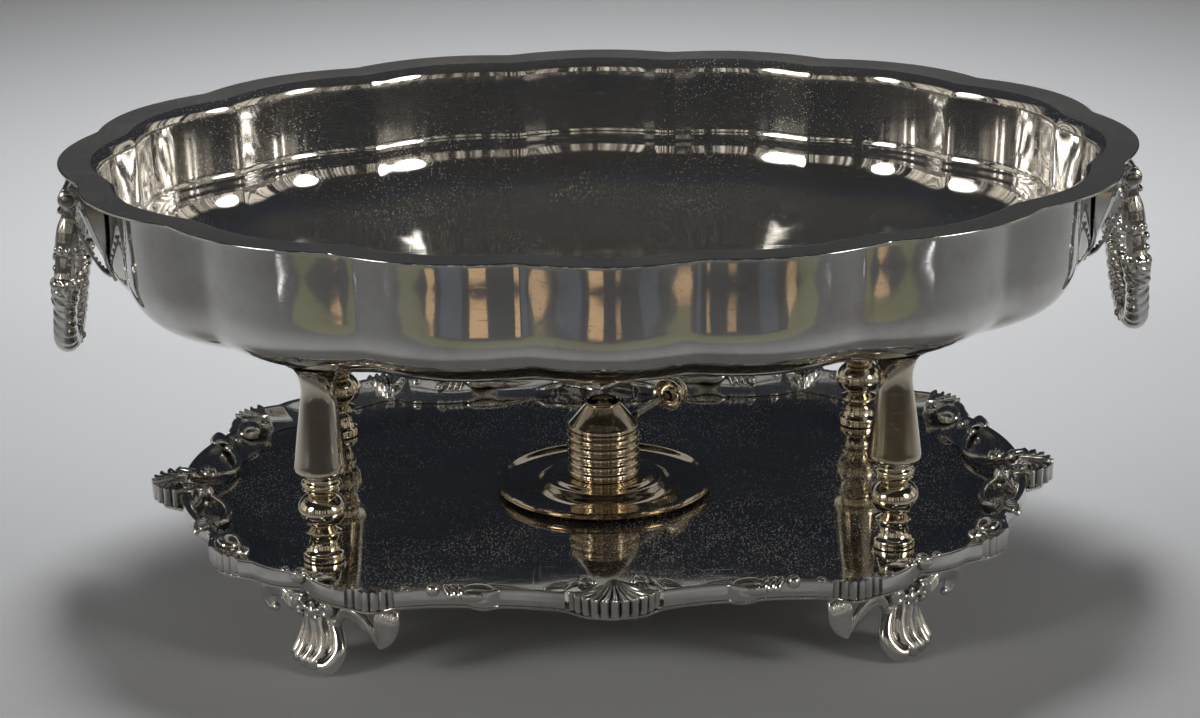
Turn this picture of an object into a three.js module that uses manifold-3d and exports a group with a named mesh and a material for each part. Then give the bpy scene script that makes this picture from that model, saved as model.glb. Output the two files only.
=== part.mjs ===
// Oval dish warmer: a lobed basin on four columns, over a shaped salver that carries a spirit burner.
// Millimetres, +Z up, X along the length. Origin: centre of the base, where the feet stand.
import * as THREE from "three";
import { mergeVertices } from "three/addons/utils/BufferGeometryUtils.js";
import Module from "manifold-3d";

const wasm = await Module();
wasm.setup();

// Clearances
const SEAT_GAP = 0.3;
const BORE_CLEARANCE = 0.4;

// Salver
const FIELD_HEIGHT = 39.5;
const PLATE_THICKNESS = 1.6;
const PLATE_INSET = 1.2;
const BORDER_RISE = 8;
const BORDER_WIDTH = 14;
const BORDER_STEP = 9;
const TRAY_HALF_LENGTH = 200;
const TRAY_HALF_WIDTH = 154;
// Outline of one quarter of the border from the long side's shell to the end shell. Each run goes on
// to a share of the half length and half width, and bulges outwards by a height in millimetres.
const BORDER_RUNS = [
  [0.108, 1.0, 0],
  [0.225, 0.961, -1],
  [0.285, 0.951, 3.2],
  [0.48, 0.955, -1.5],
  [0.575, 0.955, 4.5],
  [0.69, 0.785, 3.5],
  [0.805, 0.701, 3],
  [0.91, 0.5, 7.5],
  [0.925, 0.409, -1.5],
  [0.995, 0.118, 2.5],
];

// Shells of the border: the long sides have the wide ones, the ends the narrow ones
const WIDE_SHELL_REACH = 167;
const WIDE_SHELL_RADIUS = 26;
const WIDE_SHELL_SPREAD = 60;
const WIDE_SHELL_FLUTES = 12;
const END_SHELL_REACH = 214.5;
const END_SHELL_RADIUS = 18.5;
const END_SHELL_SPREAD = 76;
const END_SHELL_FLUTES = 10;
const SHELL_CROWN = 2.6;
const FLUTE_DEPTH = 0.7;
const SHELL_SCROLL_RADIUS = 4.2;
const SHELL_SCROLL_RISE = 2.4;
const SHELL_EDGE_FALL = 0.8;

// Feet
const FOOT_X = 129;
const FOOT_Y = 113;
const FOOT_TURN = 50.5;
const FOOT_FLUTES = 5;
const FOOT_HALF_WIDTH = 14;
const FOOT_FLUTE_DEPTH = 0.8;
const WING_THICKNESS = 5;
const WING_SWEEP = 5;
const WING_REACH = 36;
const WING_SCROLL_RADIUS = 5;

// Columns
const COLUMN_X = 129.4;
const COLUMN_Y = 84;
const COLUMN_SIDES = 12;
const COLUMN_BASE_RADIUS = 10;
const BALL_RADIUS = 11.5;
const BALL_HEIGHT = 24;
const COLLAR_RADIUS = 8.3;
const COLLAR_TOP = 45;
const SPIGOT_RADIUS = 5.2;
const SPIGOT_LENGTH = 22;
const LEG_LIP_RADIUS = 12.35;
const LEG_LIP_HEIGHT = 42;
const LEG_NECK_RADIUS = 7.75;
const LEG_NECK_BELOW_TOP = 15;
const LEG_FLARE_RADIUS = 15;
const STUD_RADIUS = 2.5;
const STUD_DEPTH = 13;
const WASHER_RADIUS = 7;
const WASHER_THICKNESS = 1.2;
const NUT_RADIUS = 5.2;
const NUT_THICKNESS = 4;

// Basin
const RIM_HEIGHT = 207;
const BASIN_BOTTOM = 134;
const BASIN_THICKNESS = 1.4;
const CUSP_HALF_LENGTH = 243.5;
const CUSP_HALF_WIDTH = 184.4;
const CUSP_ANGLES = [14.3, 38.6, 60.9, 80.3];
const LOBE_RISE = 6;
const FLOOR_LOBE_RISE = 9.5;
const LOBE_STEPS = 6;
const FLANGE_WIDTH = 15;
const WALL_BATTER = 3;
const WALL_DEPTH = 37.5;
const FLOOR_HALF_LENGTH = 149;
const FLOOR_HALF_WIDTH = 72;
const FLOOR_SQUARENESS = 2.6;
const CURVE_FULLNESS = 2.55;
const CURVE_ROWS = 5;

// Drop handles
const HINGE_HEIGHT = 196;
const HINGE_OUT_FROM_RIM = 7.5;
const EYE_Y = 30;
const EYE_WIDTH = 9;
const EYE_RADIUS = 4.8;
const PIN_RADIUS = 1.6;
const PIN_HEAD_RADIUS = 2.8;
const PIN_HEAD_THICKNESS = 1.6;
const HANDLE_DROP = 75;
const HANDLE_HALF_WIDTH = 32;
const HANDLE_TILT = 5;
const HANDLE_STEPS = 24;
const HANDLE_SIDES = 8;
const BRACKET_BARREL_RADIUS = 4.4;
const BRACKET_FOOT_DROP = 45;
const BRACKET_TIP_HALF_WIDTH = 5;

// Spirit burner, heights above the salver's field
const SAUCER_RADIUS = 51;
const SAUCER_RIM_HEIGHT = 4.8;
const SAUCER_SHEET = 1.2;
const FONT_RADIUS = 17.3;
const FONT_BOTTOM = 7;
const FONT_TOP = 28.5;
const FONT_RIBS = 5;
const FONT_WALL = 1.6;
const GROOVE_DEPTH = 1.3;
const NECK_RADIUS = 8;
const LID_THICKNESS = 1.2;
const WICK_TUBE_RADIUS = 6.6;
const WICK_TUBE_WALL = 0.8;
const WICK_TOP = 40.5;
const CAP_BASE_RADIUS = 16.6;
const CAP_TOP_RADIUS = 8.75;
const CAP_TOP = 43.5;
const CAP_WALL = 0.9;
const CAP_FOOT_HEIGHT = 2.2;
const CAP_FOOT_STEP = 0.8;
const CAP_LIP_HEIGHT = 1.6;
const CAP_LIP_STEP = 0.2;
const LEVER_ANGLE = 59.6;
const LEVER_OFFSET = 9;
const LEVER_HEIGHT = 32.3;
const LEVER_LENGTH = 38.4;
const LEVER_RADIUS = 1.9;
const KNOB_RADIUS = 7.9;
const KNOB_LENGTH = 10;
const KNOB_BORE_DEPTH = 6.5;
const BURNER_SIDES = 18;
const SAUCER_SIDES = 24;

// Worked-out places
const PLATE_BOTTOM = FIELD_HEIGHT - PLATE_THICKNESS;
const BORDER_BOTTOM = FIELD_HEIGHT + SEAT_GAP;
const BORDER_TOP = FIELD_HEIGHT + BORDER_RISE;
const FOOT_TOP = PLATE_BOTTOM - SEAT_GAP;
const LEG_TOP = BASIN_BOTTOM - SEAT_GAP;
const SOCKET_RADIUS = SPIGOT_RADIUS + BORE_CLEARANCE;
const BURNER_FLOOR = FIELD_HEIGHT + SEAT_GAP;
const WALL_INSET = FLANGE_WIDTH + WALL_BATTER;
const HINGE_X = CUSP_HALF_LENGTH + LOBE_RISE - HINGE_OUT_FROM_RIM;

const radians = THREE.MathUtils.degToRad;

// Materials
function metal(name, color, roughness) {
  return new THREE.MeshStandardMaterial({ name, color, roughness, metalness: 1, flatShading: true });
}
const silverPlate = () => metal("silver plate", 0xcfc8b8, 0.12);
const salverField = () => metal("pitted silver plate", 0x8f8c85, 0.3);
const castSilver = () => metal("cast silver plate", 0xb4afa5, 0.24);
const warmPlate = () => metal("warm silver plate", 0xc9b48c, 0.16);
const steel = () => metal("steel", 0x8a8884, 0.35);
const cottonWick = () => new THREE.MeshStandardMaterial({ name: "cotton wick", color: 0xd8d0bd, roughness: 0.95 });

// Geometry helpers
function triangleNormalTimesArea(a, b, c) {
  return new THREE.Vector3().subVectors(b, a).cross(new THREE.Vector3().subVectors(c, a));
}

// Merges shared vertices, drops triangles without area and turns the faces outwards.
function closed(geometry) {
  geometry.deleteAttribute("normal");
  geometry.deleteAttribute("uv");
  const merged = mergeVertices(geometry, 1e-4);
  const position = merged.getAttribute("position");
  const corner = (index) => new THREE.Vector3().fromBufferAttribute(position, index);
  const kept = [];
  let volume = 0;
  for (let start = 0; start < merged.index.count; start += 3) {
    const [i, j, k] = [0, 1, 2].map((step) => merged.index.getX(start + step));
    const [a, b, c] = [i, j, k].map(corner);
    if (i === j || j === k || k === i || triangleNormalTimesArea(a, b, c).length() < 1e-9) continue;
    kept.push([i, j, k]);
    volume += a.dot(b.cross(c));
  }
  merged.setIndex(kept.flatMap(([i, j, k]) => (volume > 0 ? [i, j, k] : [i, k, j])));
  return merged;
}

// Skins a row of loops that have the same number of points, and closes both ends with a fan.
function loft(loops) {
  const count = loops[0].length;
  const points = loops.flat();
  const faces = [];
  for (let row = 0; row + 1 < loops.length; row += 1) {
    for (let step = 0; step < count; step += 1) {
      const a = row * count + step;
      const b = row * count + ((step + 1) % count);
      faces.push(a, b, b + count, a, b + count, a + count);
    }
  }
  const capRow = (row, flip) => {
    const centre = new THREE.Vector3();
    loops[row].forEach((point) => centre.addScaledVector(point, 1 / count));
    const middle = points.push(centre) - 1;
    for (let step = 0; step < count; step += 1) {
      const a = row * count + step;
      const b = row * count + ((step + 1) % count);
      if (flip) faces.push(middle, b, a);
      else faces.push(middle, a, b);
    }
  };
  capRow(0, true);
  capRow(loops.length - 1, false);
  const geometry = new THREE.BufferGeometry().setFromPoints(points);
  geometry.setIndex(faces);
  return closed(geometry);
}

// Turns a profile of [radius, height] points about Z.
function turned(profile, sides) {
  const geometry = new THREE.LatheGeometry(profile.map(([r, z]) => new THREE.Vector2(r, z)), sides);
  geometry.rotateX(Math.PI / 2);
  return closed(geometry);
}

function extruded(outline, depth, holes = []) {
  const shape = new THREE.Shape(outline);
  holes.forEach((hole) => shape.holes.push(new THREE.Path(hole)));
  return closed(new THREE.ExtrudeGeometry(shape, { depth, bevelEnabled: false }));
}

function circlePoints(x, y, radius, sides) {
  return Array.from({ length: sides }, (_, step) => {
    const angle = (2 * Math.PI * step) / sides;
    return new THREE.Vector2(x + radius * Math.cos(angle), y + radius * Math.sin(angle));
  });
}

function toManifold(geometry) {
  const vertProperties = new Float32Array(geometry.getAttribute("position").array);
  const triVerts = new Uint32Array(geometry.index.array);
  return new wasm.Manifold(new wasm.Mesh({ numProp: 3, vertProperties, triVerts }));
}

function fromManifold(body) {
  const mesh = body.getMesh();
  const geometry = new THREE.BufferGeometry();
  geometry.setAttribute("position", new THREE.BufferAttribute(new Float32Array(mesh.vertProperties), 3));
  geometry.setIndex(new THREE.BufferAttribute(new Uint32Array(mesh.triVerts), 1));
  return closed(geometry);
}

function joined(...geometries) {
  return fromManifold(geometries.map(toManifold).reduce((sum, body) => sum.add(body)));
}

function cut(geometry, ...tools) {
  return fromManifold(tools.map(toManifold).reduce((rest, tool) => rest.subtract(tool), toManifold(geometry)));
}

function common(first, second) {
  return fromManifold(toManifold(first).intersect(toManifold(second)));
}

function mirrored(geometry, x, y) {
  return closed(geometry.clone().scale(x, y, 1));
}

const model = new THREE.Group();

function add(name, geometry, material, parent = model) {
  const mesh = new THREE.Mesh(geometry, material);
  mesh.name = name;
  parent.add(mesh);
  return mesh;
}

const CORNERS = [
  ["front_left", -1, -1],
  ["front_right", 1, -1],
  ["back_left", -1, 1],
  ["back_right", 1, 1],
];

// Salver
function arcRun(from, to, bulge) {
  const chord = new THREE.Vector2().subVectors(to, from);
  const outward = new THREE.Vector2(chord.y, -chord.x).normalize();
  if (outward.dot(from) < 0) outward.negate();
  const steps = Math.max(1, Math.round(chord.length() / BORDER_STEP));
  return Array.from({ length: steps }, (_, index) => {
    const share = (index + 1) / steps;
    const point = new THREE.Vector2().lerpVectors(from, to, share);
    return point.addScaledVector(outward, 4 * share * (1 - share) * bulge);
  });
}

// One quarter of the border's outline, at positive x and y.
function quarterOutline() {
  const corners = BORDER_RUNS.map(([x, y]) => new THREE.Vector2(x * TRAY_HALF_LENGTH, y * TRAY_HALF_WIDTH));
  const points = [corners[0]];
  for (let run = 1; run < corners.length; run += 1) {
    points.push(...arcRun(corners[run - 1], corners[run], BORDER_RUNS[run][2]));
  }
  return points;
}

// Direction out of the smooth oval that the border follows.
function ovalNormal(point) {
  const x = (point.x / TRAY_HALF_LENGTH) ** 3;
  const y = (point.y / TRAY_HALF_WIDTH) ** 3;
  return new THREE.Vector2(x / TRAY_HALF_LENGTH, y / TRAY_HALF_WIDTH).normalize();
}

function insetPoint(point, inset) {
  return point.clone().addScaledVector(ovalNormal(point), -inset);
}

// Section of the border: inset from the outline, and height.
function borderSection() {
  return [
    [0, BORDER_BOTTOM],
    [0, BORDER_TOP - 1.6],
    [1.2, BORDER_TOP - 0.2],
    [0.3 * BORDER_WIDTH, BORDER_TOP],
    [0.65 * BORDER_WIDTH, BORDER_TOP - 2.6],
    [BORDER_WIDTH, BORDER_BOTTOM],
  ];
}

function borderQuarter() {
  return loft(quarterOutline().map((point) => borderSection().map(([inset, height]) => {
    const place = insetPoint(point, inset);
    return new THREE.Vector3(place.x, place.y, height);
  })));
}

function columnPlaces() {
  return CORNERS.map(([, x, y]) => new THREE.Vector2(x * COLUMN_X, y * COLUMN_Y));
}

// The plate reaches under the border and under the four shells.
function plateOutline() {
  const quarter = quarterOutline().map((point) => insetPoint(point, PLATE_INSET));
  const longTip = new THREE.Vector2(0, WIDE_SHELL_REACH - FLUTE_DEPTH - 2 * PLATE_INSET);
  const endTip = new THREE.Vector2(END_SHELL_REACH - FLUTE_DEPTH - 2 * PLATE_INSET, 0);
  const longShoulder = new THREE.Vector2(0.6 * quarter[0].x, longTip.y - 3);
  const endShoulder = new THREE.Vector2(endTip.x - 3.5, 0.6 * quarter.at(-1).y);
  const right = [longTip, longShoulder, ...quarter, endShoulder, endTip];
  const lower = right.slice(0, -1).reverse().map((point) => new THREE.Vector2(point.x, -point.y));
  const left = [...right.slice(1), ...lower.slice(0, -1)].reverse();
  return [...right, ...lower, ...left.map((point) => new THREE.Vector2(-point.x, point.y))];
}

function trayPlate() {
  const holes = columnPlaces().map(({ x, y }) => circlePoints(x, y, STUD_RADIUS + BORE_CLEARANCE, 12));
  return extruded(plateOutline(), PLATE_THICKNESS, holes).translate(0, 0, PLATE_BOTTOM);
}

// A fluted fan that points to +Y, with a scroll at each side of its hinge. Grown by a gap, it cuts
// the room that the shell needs out of the border.
function shell(reach, radius, spread, flutes, gap = 0) {
  const back = gap / Math.sin(radians(spread));
  const hinge = reach - radius;
  const fanRadius = radius + gap + back;
  const bottom = BORDER_BOTTOM - gap;
  const steps = 2 * flutes;
  const rings = [0.25, 0.65, 1];
  const height = (share) => BORDER_TOP + SHELL_CROWN * (1 - share * share) - SHELL_EDGE_FALL * share + gap;
  const ring = (share, top) => Array.from({ length: steps + 1 }, (_, step) => {
    const angle = radians(spread * ((2 * step) / steps - 1));
    const ridge = (step % 2 ? 1 : -1) * FLUTE_DEPTH * share;
    const out = fanRadius * share + 0.5 * ridge - (share === 1 ? 0.5 * FLUTE_DEPTH : 0);
    const z = top ? height(share) + 0.8 * ridge : bottom;
    return new THREE.Vector3(out * Math.sin(angle), hinge - back + out * Math.cos(angle), z);
  });
  // Each loop runs out along the top from one ring to the next, from one side of the fan to the other
  const fan = loft(ring(1, true).map((_, step) => [
    ring(rings[0], false)[step],
    ...rings.map((share) => ring(share, true)[step]),
    ring(1, false)[step],
  ]));
  const scrollAngle = radians(spread + 6);
  const scrollOut = 0.5 * radius;
  const scrolls = [-1, 1].map((side) => turned([
    [0, bottom],
    [SHELL_SCROLL_RADIUS + gap, bottom],
    [SHELL_SCROLL_RADIUS + gap, BORDER_TOP],
    [0.5 * SHELL_SCROLL_RADIUS + gap, BORDER_TOP + 0.85 * SHELL_SCROLL_RISE],
    [0, BORDER_TOP + SHELL_SCROLL_RISE],
  ], 8).translate(side * scrollOut * Math.sin(scrollAngle), hinge + scrollOut * Math.cos(scrollAngle), 0));
  const neck = turned([
    [0, bottom],
    [0.3 * radius + gap, bottom],
    [0.3 * radius + gap, BORDER_TOP - 0.4 * SHELL_CROWN],
    [0, BORDER_TOP + 0.4 * SHELL_CROWN],
  ], 8).translate(0, hinge, 0);
  return joined(fan, neck, ...scrolls);
}

function buildSalver() {
  add("tray_plate", trayPlate(), salverField());
  const wideSizes = [WIDE_SHELL_REACH, WIDE_SHELL_RADIUS, WIDE_SHELL_SPREAD, WIDE_SHELL_FLUTES];
  const endSizes = [END_SHELL_REACH, END_SHELL_RADIUS, END_SHELL_SPREAD, END_SHELL_FLUTES];
  const wide = shell(...wideSizes);
  const narrow = shell(...endSizes).rotateZ(-Math.PI / 2);
  const endRoom = shell(...endSizes, SEAT_GAP).rotateZ(-Math.PI / 2);
  const quarter = cut(borderQuarter(), shell(...wideSizes, SEAT_GAP), endRoom);
  for (const [name, x, y] of CORNERS) {
    add(`border_${name}`, mirrored(quarter, x, y), castSilver());
  }
  add("shell_back", wide, castSilver());
  add("shell_front", wide.clone(), castSilver()).rotation.z = Math.PI;
  add("shell_right", narrow, castSilver());
  add("shell_left", narrow.clone(), castSilver()).rotation.z = Math.PI;
}

// Feet, made pointing to +X: a fluted leg and two scrolled wings
function footLeg() {
  // Share of the height, then the half depth, the half width and how far the section stands out, as
  // shares of the foot's half width
  const sections = [
    [0, 0.257, 0.679, 0.571],
    [0.07, 0.429, 0.893, 0.571],
    [0.2, 0.471, 1, 0.464],
    [0.4, 0.4, 0.857, 0.179],
    [0.58, 0.329, 0.586, -0.036],
    [0.74, 0.429, 0.614, 0.071],
    [0.88, 0.5, 0.786, 0.036],
    [1, 0.457, 0.786, -0.143],
  ].map(([share, ...sizes]) => [share, ...sizes.map((size) => size * FOOT_HALF_WIDTH)]);
  const steps = 2 * FOOT_FLUTES + 6;
  return loft(sections.map(([share, depth, width, out]) => Array.from({ length: steps }, (_, step) => {
    const angle = (2 * Math.PI * step) / steps;
    const front = Math.max(0, Math.cos(angle));
    const flute = 1 + (step % 2 ? -1 : 1) * (FOOT_FLUTE_DEPTH / width) * front;
    return new THREE.Vector3(out + depth * flute * Math.cos(angle), width * flute * Math.sin(angle), share * FOOT_TOP);
  })));
}

function footWing(side) {
  const top = FOOT_TOP;
  const scrollCentre = WING_REACH - WING_SCROLL_RADIUS;
  const outline = new THREE.Shape();
  outline.moveTo(3, top);
  outline.lineTo(scrollCentre, top);
  outline.absarc(scrollCentre, top - WING_SCROLL_RADIUS - 2, WING_SCROLL_RADIUS, Math.PI / 2, -Math.PI * 0.75, true);
  outline.quadraticCurveTo(0.62 * WING_REACH, top - 4, 0.36 * WING_REACH, top - 11);
  outline.lineTo(3, top - 14);
  const wing = new THREE.ExtrudeGeometry(outline, { depth: WING_THICKNESS, bevelEnabled: false, curveSegments: 5 });
  wing.translate(0, 0, -WING_THICKNESS / 2);
  wing.rotateX(Math.PI / 2);
  wing.rotateZ(side * (Math.PI / 2 + radians(WING_SWEEP)));
  return closed(wing);
}

function buildFeet() {
  const foot = joined(footLeg(), footWing(1), footWing(-1));
  for (const [name, x, y] of CORNERS) {
    const mesh = add(`foot_${name}`, foot.clone(), castSilver());
    mesh.position.set(x * FOOT_X, y * FOOT_Y, 0);
    mesh.rotation.z = Math.atan2(y * Math.sin(radians(FOOT_TURN)), x * Math.cos(radians(FOOT_TURN)));
  }
}

// Columns: a baluster that a stud holds to the plate, and a hollow leg of the basin that slips over it
function balusterProfile() {
  const bore = STUD_RADIUS + BORE_CLEARANCE;
  const ball = Array.from({ length: 5 }, (_, step) => {
    const angle = radians(-60 + 30 * step);
    return [BALL_RADIUS * Math.cos(angle), BALL_HEIGHT + 0.75 * BALL_RADIUS * Math.sin(angle)];
  });
  return [
    [0, STUD_DEPTH + 1],
    [bore, STUD_DEPTH + 1],
    [bore, SEAT_GAP],
    [COLUMN_BASE_RADIUS, SEAT_GAP],
    [COLUMN_BASE_RADIUS, 4],
    [COLUMN_BASE_RADIUS - 2, 5.4],
    [0.7 * COLUMN_BASE_RADIUS, 10],
    [COLUMN_BASE_RADIUS - 1.6, 14],
    ...ball,
    [COLLAR_RADIUS - 0.8, 33.6],
    [COLLAR_RADIUS + 1, 35],
    [COLLAR_RADIUS + 0.9, 37.4],
    [COLLAR_RADIUS, 39],
    [COLLAR_RADIUS, COLLAR_TOP],
    [SPIGOT_RADIUS, COLLAR_TOP],
    [SPIGOT_RADIUS, COLLAR_TOP + SPIGOT_LENGTH - 1],
    [SPIGOT_RADIUS - 1, COLLAR_TOP + SPIGOT_LENGTH],
    [0, COLLAR_TOP + SPIGOT_LENGTH],
  ];
}

function legProfile() {
  const top = LEG_TOP - FIELD_HEIGHT;
  const neck = top - LEG_NECK_BELOW_TOP;
  const shoulder = COLLAR_TOP + SEAT_GAP;
  const recess = COLLAR_RADIUS + BORE_CLEARANCE;
  return [
    [0, COLLAR_TOP + SPIGOT_LENGTH + 1],
    [SOCKET_RADIUS, COLLAR_TOP + SPIGOT_LENGTH + 1],
    [SOCKET_RADIUS, shoulder],
    [recess, shoulder],
    [recess, LEG_LIP_HEIGHT],
    [LEG_LIP_RADIUS - 0.9, LEG_LIP_HEIGHT],
    [LEG_LIP_RADIUS, LEG_LIP_HEIGHT + 1.2],
    [LEG_LIP_RADIUS - 0.5, LEG_LIP_HEIGHT + 4],
    [0.5 * (LEG_LIP_RADIUS + LEG_NECK_RADIUS), 0.5 * (LEG_LIP_HEIGHT + neck) - 2],
    [LEG_NECK_RADIUS, neck],
    [LEG_NECK_RADIUS + 0.9, neck + 0.45 * LEG_NECK_BELOW_TOP],
    [LEG_NECK_RADIUS + 3, neck + 0.8 * LEG_NECK_BELOW_TOP],
    [LEG_FLARE_RADIUS, top],
    [0, top],
  ];
}

function hexNut() {
  return extruded(circlePoints(0, 0, NUT_RADIUS, 6), NUT_THICKNESS, [
    circlePoints(0, 0, STUD_RADIUS + BORE_CLEARANCE, 12),
  ]);
}

function buildColumns() {
  const washerTop = -PLATE_THICKNESS - SEAT_GAP;
  const nutTop = washerTop - WASHER_THICKNESS - SEAT_GAP;
  const stud = new THREE.CylinderGeometry(STUD_RADIUS, STUD_RADIUS, 1, 12).rotateX(Math.PI / 2);
  const studLength = STUD_DEPTH - nutTop + NUT_THICKNESS + 1;
  const bore = STUD_RADIUS + BORE_CLEARANCE;
  const washer = [
    [bore, washerTop],
    [WASHER_RADIUS, washerTop],
    [WASHER_RADIUS, washerTop - WASHER_THICKNESS],
    [bore, washerTop - WASHER_THICKNESS],
    [bore, washerTop],
  ];
  for (const [name, x, y] of CORNERS) {
    const place = new THREE.Group();
    place.position.set(x * COLUMN_X, y * COLUMN_Y, FIELD_HEIGHT);
    model.add(place);
    add(`baluster_${name}`, turned(balusterProfile(), COLUMN_SIDES), warmPlate(), place);
    add(`basin_leg_${name}`, turned(legProfile(), COLUMN_SIDES), warmPlate(), place);
    const studMesh = add(`stud_${name}`, closed(stud.clone().scale(1, 1, studLength)), steel(), place);
    studMesh.position.z = STUD_DEPTH - studLength / 2;
    add(`washer_${name}`, turned(washer, 12), steel(), place);
    add(`nut_${name}`, hexNut(), steel(), place).position.z = nutTop - NUT_THICKNESS;
  }
}

// Basin
function cuspAngles() {
  const quarter = CUSP_ANGLES;
  const half = [...quarter, ...quarter.map((angle) => 180 - angle).reverse()];
  return [...half, ...half.map((angle) => angle + 180)].map(radians);
}

// Ellipse angles round the basin, each with its share of the lobe's rise.
function lobeStations() {
  const cusps = cuspAngles();
  return cusps.flatMap((start, index) => {
    const next = cusps[(index + 1) % cusps.length];
    const end = next > start ? next : next + 2 * Math.PI;
    return Array.from({ length: LOBE_STEPS }, (_, step) => {
      const share = step / LOBE_STEPS;
      return { angle: start + share * (end - start), rise: 4 * share * (1 - share) };
    });
  });
}

// A lobed oval. Squareness 2 is an ellipse, and more makes its quarters fuller.
function lobedOval(halfLength, halfWidth, squareness, rise, height) {
  return lobeStations().map((station) => {
    const [c, s] = [Math.cos(station.angle), Math.sin(station.angle)];
    const reach = (Math.abs(c) ** squareness + Math.abs(s) ** squareness) ** (-1 / squareness);
    const normal = new THREE.Vector2(c / halfLength, s / halfWidth).normalize();
    const out = rise * station.rise;
    return new THREE.Vector3(
      halfLength * c * reach + normal.x * out,
      halfWidth * s * reach + normal.y * out,
      height,
    );
  });
}

function wallLoop(inset, height) {
  return lobedOval(CUSP_HALF_LENGTH - inset, CUSP_HALF_WIDTH - inset, 2, LOBE_RISE, height);
}

// Loops of the bowl's wall and curve from the top down, for a skin that lies inside by a thickness.
function bowlLoops(thickness) {
  const wallFoot = WALL_INSET + 0.5 * WALL_BATTER + thickness;
  const wallEnd = RIM_HEIGHT - WALL_DEPTH;
  const bottom = BASIN_BOTTOM + thickness;
  const loops = [wallLoop(WALL_INSET + thickness, RIM_HEIGHT - 6)];
  for (let row = 0; row <= CURVE_ROWS; row += 1) {
    const angle = (Math.PI / 2) * (1 - row / CURVE_ROWS);
    const out = Math.sin(angle) ** (2 / CURVE_FULLNESS);
    const up = 1 - Math.cos(angle) ** (2 / CURVE_FULLNESS);
    const halfLength = THREE.MathUtils.lerp(FLOOR_HALF_LENGTH - thickness, CUSP_HALF_LENGTH - wallFoot, out);
    const halfWidth = THREE.MathUtils.lerp(FLOOR_HALF_WIDTH - thickness, CUSP_HALF_WIDTH - wallFoot, out);
    const squareness = THREE.MathUtils.lerp(FLOOR_SQUARENESS, 2, out);
    const rise = THREE.MathUtils.lerp(FLOOR_LOBE_RISE, LOBE_RISE, out);
    const height = THREE.MathUtils.lerp(bottom, wallEnd, up);
    loops.push(lobedOval(halfLength, halfWidth, squareness, rise, height));
  }
  return loops;
}

function basin() {
  const edge = RIM_HEIGHT - BASIN_THICKNESS;
  return loft([
    ...bowlLoops(0).reverse(),
    wallLoop(FLANGE_WIDTH, edge),
    wallLoop(0, edge),
    wallLoop(0, RIM_HEIGHT),
    wallLoop(FLANGE_WIDTH, RIM_HEIGHT),
    ...bowlLoops(BASIN_THICKNESS),
  ]);
}

// The bowl's outside as one solid, a little larger, to shape what is fixed to the wall.
function bowlEnvelope() {
  const underFlange = RIM_HEIGHT - BASIN_THICKNESS - SEAT_GAP;
  return loft([
    ...bowlLoops(-SEAT_GAP).reverse(),
    wallLoop(FLANGE_WIDTH - SEAT_GAP, underFlange),
    wallLoop(FLANGE_WIDTH - SEAT_GAP, RIM_HEIGHT),
  ]);
}

// Drop handles, made for the +X end
function alongY(geometry) {
  return geometry.rotateX(Math.PI / 2);
}

function barrel(radius, length, sides) {
  return alongY(turned([
    [0, -length / 2],
    [radius, -length / 2],
    [radius, length / 2],
    [0, length / 2],
  ], sides));
}

// Radius of the cast limb for a drop below the hinge, as a share of the handle's height.
function limbRadius(drop) {
  const stops = [
    [0, 3.2],
    [0.1, 3.1],
    [0.15, 3.6],
    [0.27, 5.2],
    [0.36, 4.6],
    [0.46, 4.6],
    [0.52, 6],
    [0.64, 5.9],
    [0.7, 5.1],
    [1, 5.4],
  ];
  const next = Math.max(1, stops.findIndex(([at]) => at >= drop));
  const [from, to] = [stops[next - 1], stops[next]];
  return THREE.MathUtils.mapLinear(drop, from[0], to[0], from[1], to[1]);
}

function handleLoop() {
  const half = [
    [EYE_Y, 0],
    [EYE_Y + 0.6, 0.28],
    [HANDLE_HALF_WIDTH, 0.5],
    [0.93 * HANDLE_HALF_WIDTH, 0.72],
    [0.62 * HANDLE_HALF_WIDTH, 0.93],
  ];
  const places = [...half, [0, 1], ...half.map(([y, drop]) => [-y, drop]).reverse()];
  const curve = new THREE.CatmullRomCurve3(places.map(([y, drop]) => new THREE.Vector3(0, y, -drop * HANDLE_DROP)));
  const side = new THREE.Vector3(1, 0, 0);
  const loops = Array.from({ length: HANDLE_STEPS + 1 }, (_, step) => {
    const point = curve.getPointAt(step / HANDLE_STEPS);
    const across = curve.getTangentAt(step / HANDLE_STEPS).cross(side).normalize();
    const radius = limbRadius(Math.min(1, -point.z / HANDLE_DROP));
    return Array.from({ length: HANDLE_SIDES }, (__, turn) => {
      const angle = (2 * Math.PI * (turn + 0.5)) / HANDLE_SIDES;
      return point.clone()
        .addScaledVector(side, radius * Math.cos(angle))
        .addScaledVector(across, radius * Math.sin(angle));
    });
  });
  return loft(loops);
}

function handle() {
  const eyes = [-EYE_Y, EYE_Y].map((y) => barrel(EYE_RADIUS, EYE_WIDTH, 12).translate(0, y, 0));
  const bore = barrel(PIN_RADIUS + BORE_CLEARANCE, 4 * EYE_Y, 12);
  return cut(joined(handleLoop(), ...eyes), bore).rotateY(-radians(HANDLE_TILT));
}

function hingePin() {
  const reach = EYE_Y + EYE_WIDTH / 2 + SEAT_GAP;
  const end = reach + PIN_HEAD_THICKNESS;
  return alongY(turned([
    [0, -end],
    [PIN_HEAD_RADIUS, -end + 0.6],
    [PIN_HEAD_RADIUS, -reach],
    [PIN_RADIUS, -reach],
    [PIN_RADIUS, reach],
    [PIN_HEAD_RADIUS, reach],
    [PIN_HEAD_RADIUS, end - 0.6],
    [0, end],
  ], 12));
}

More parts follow.
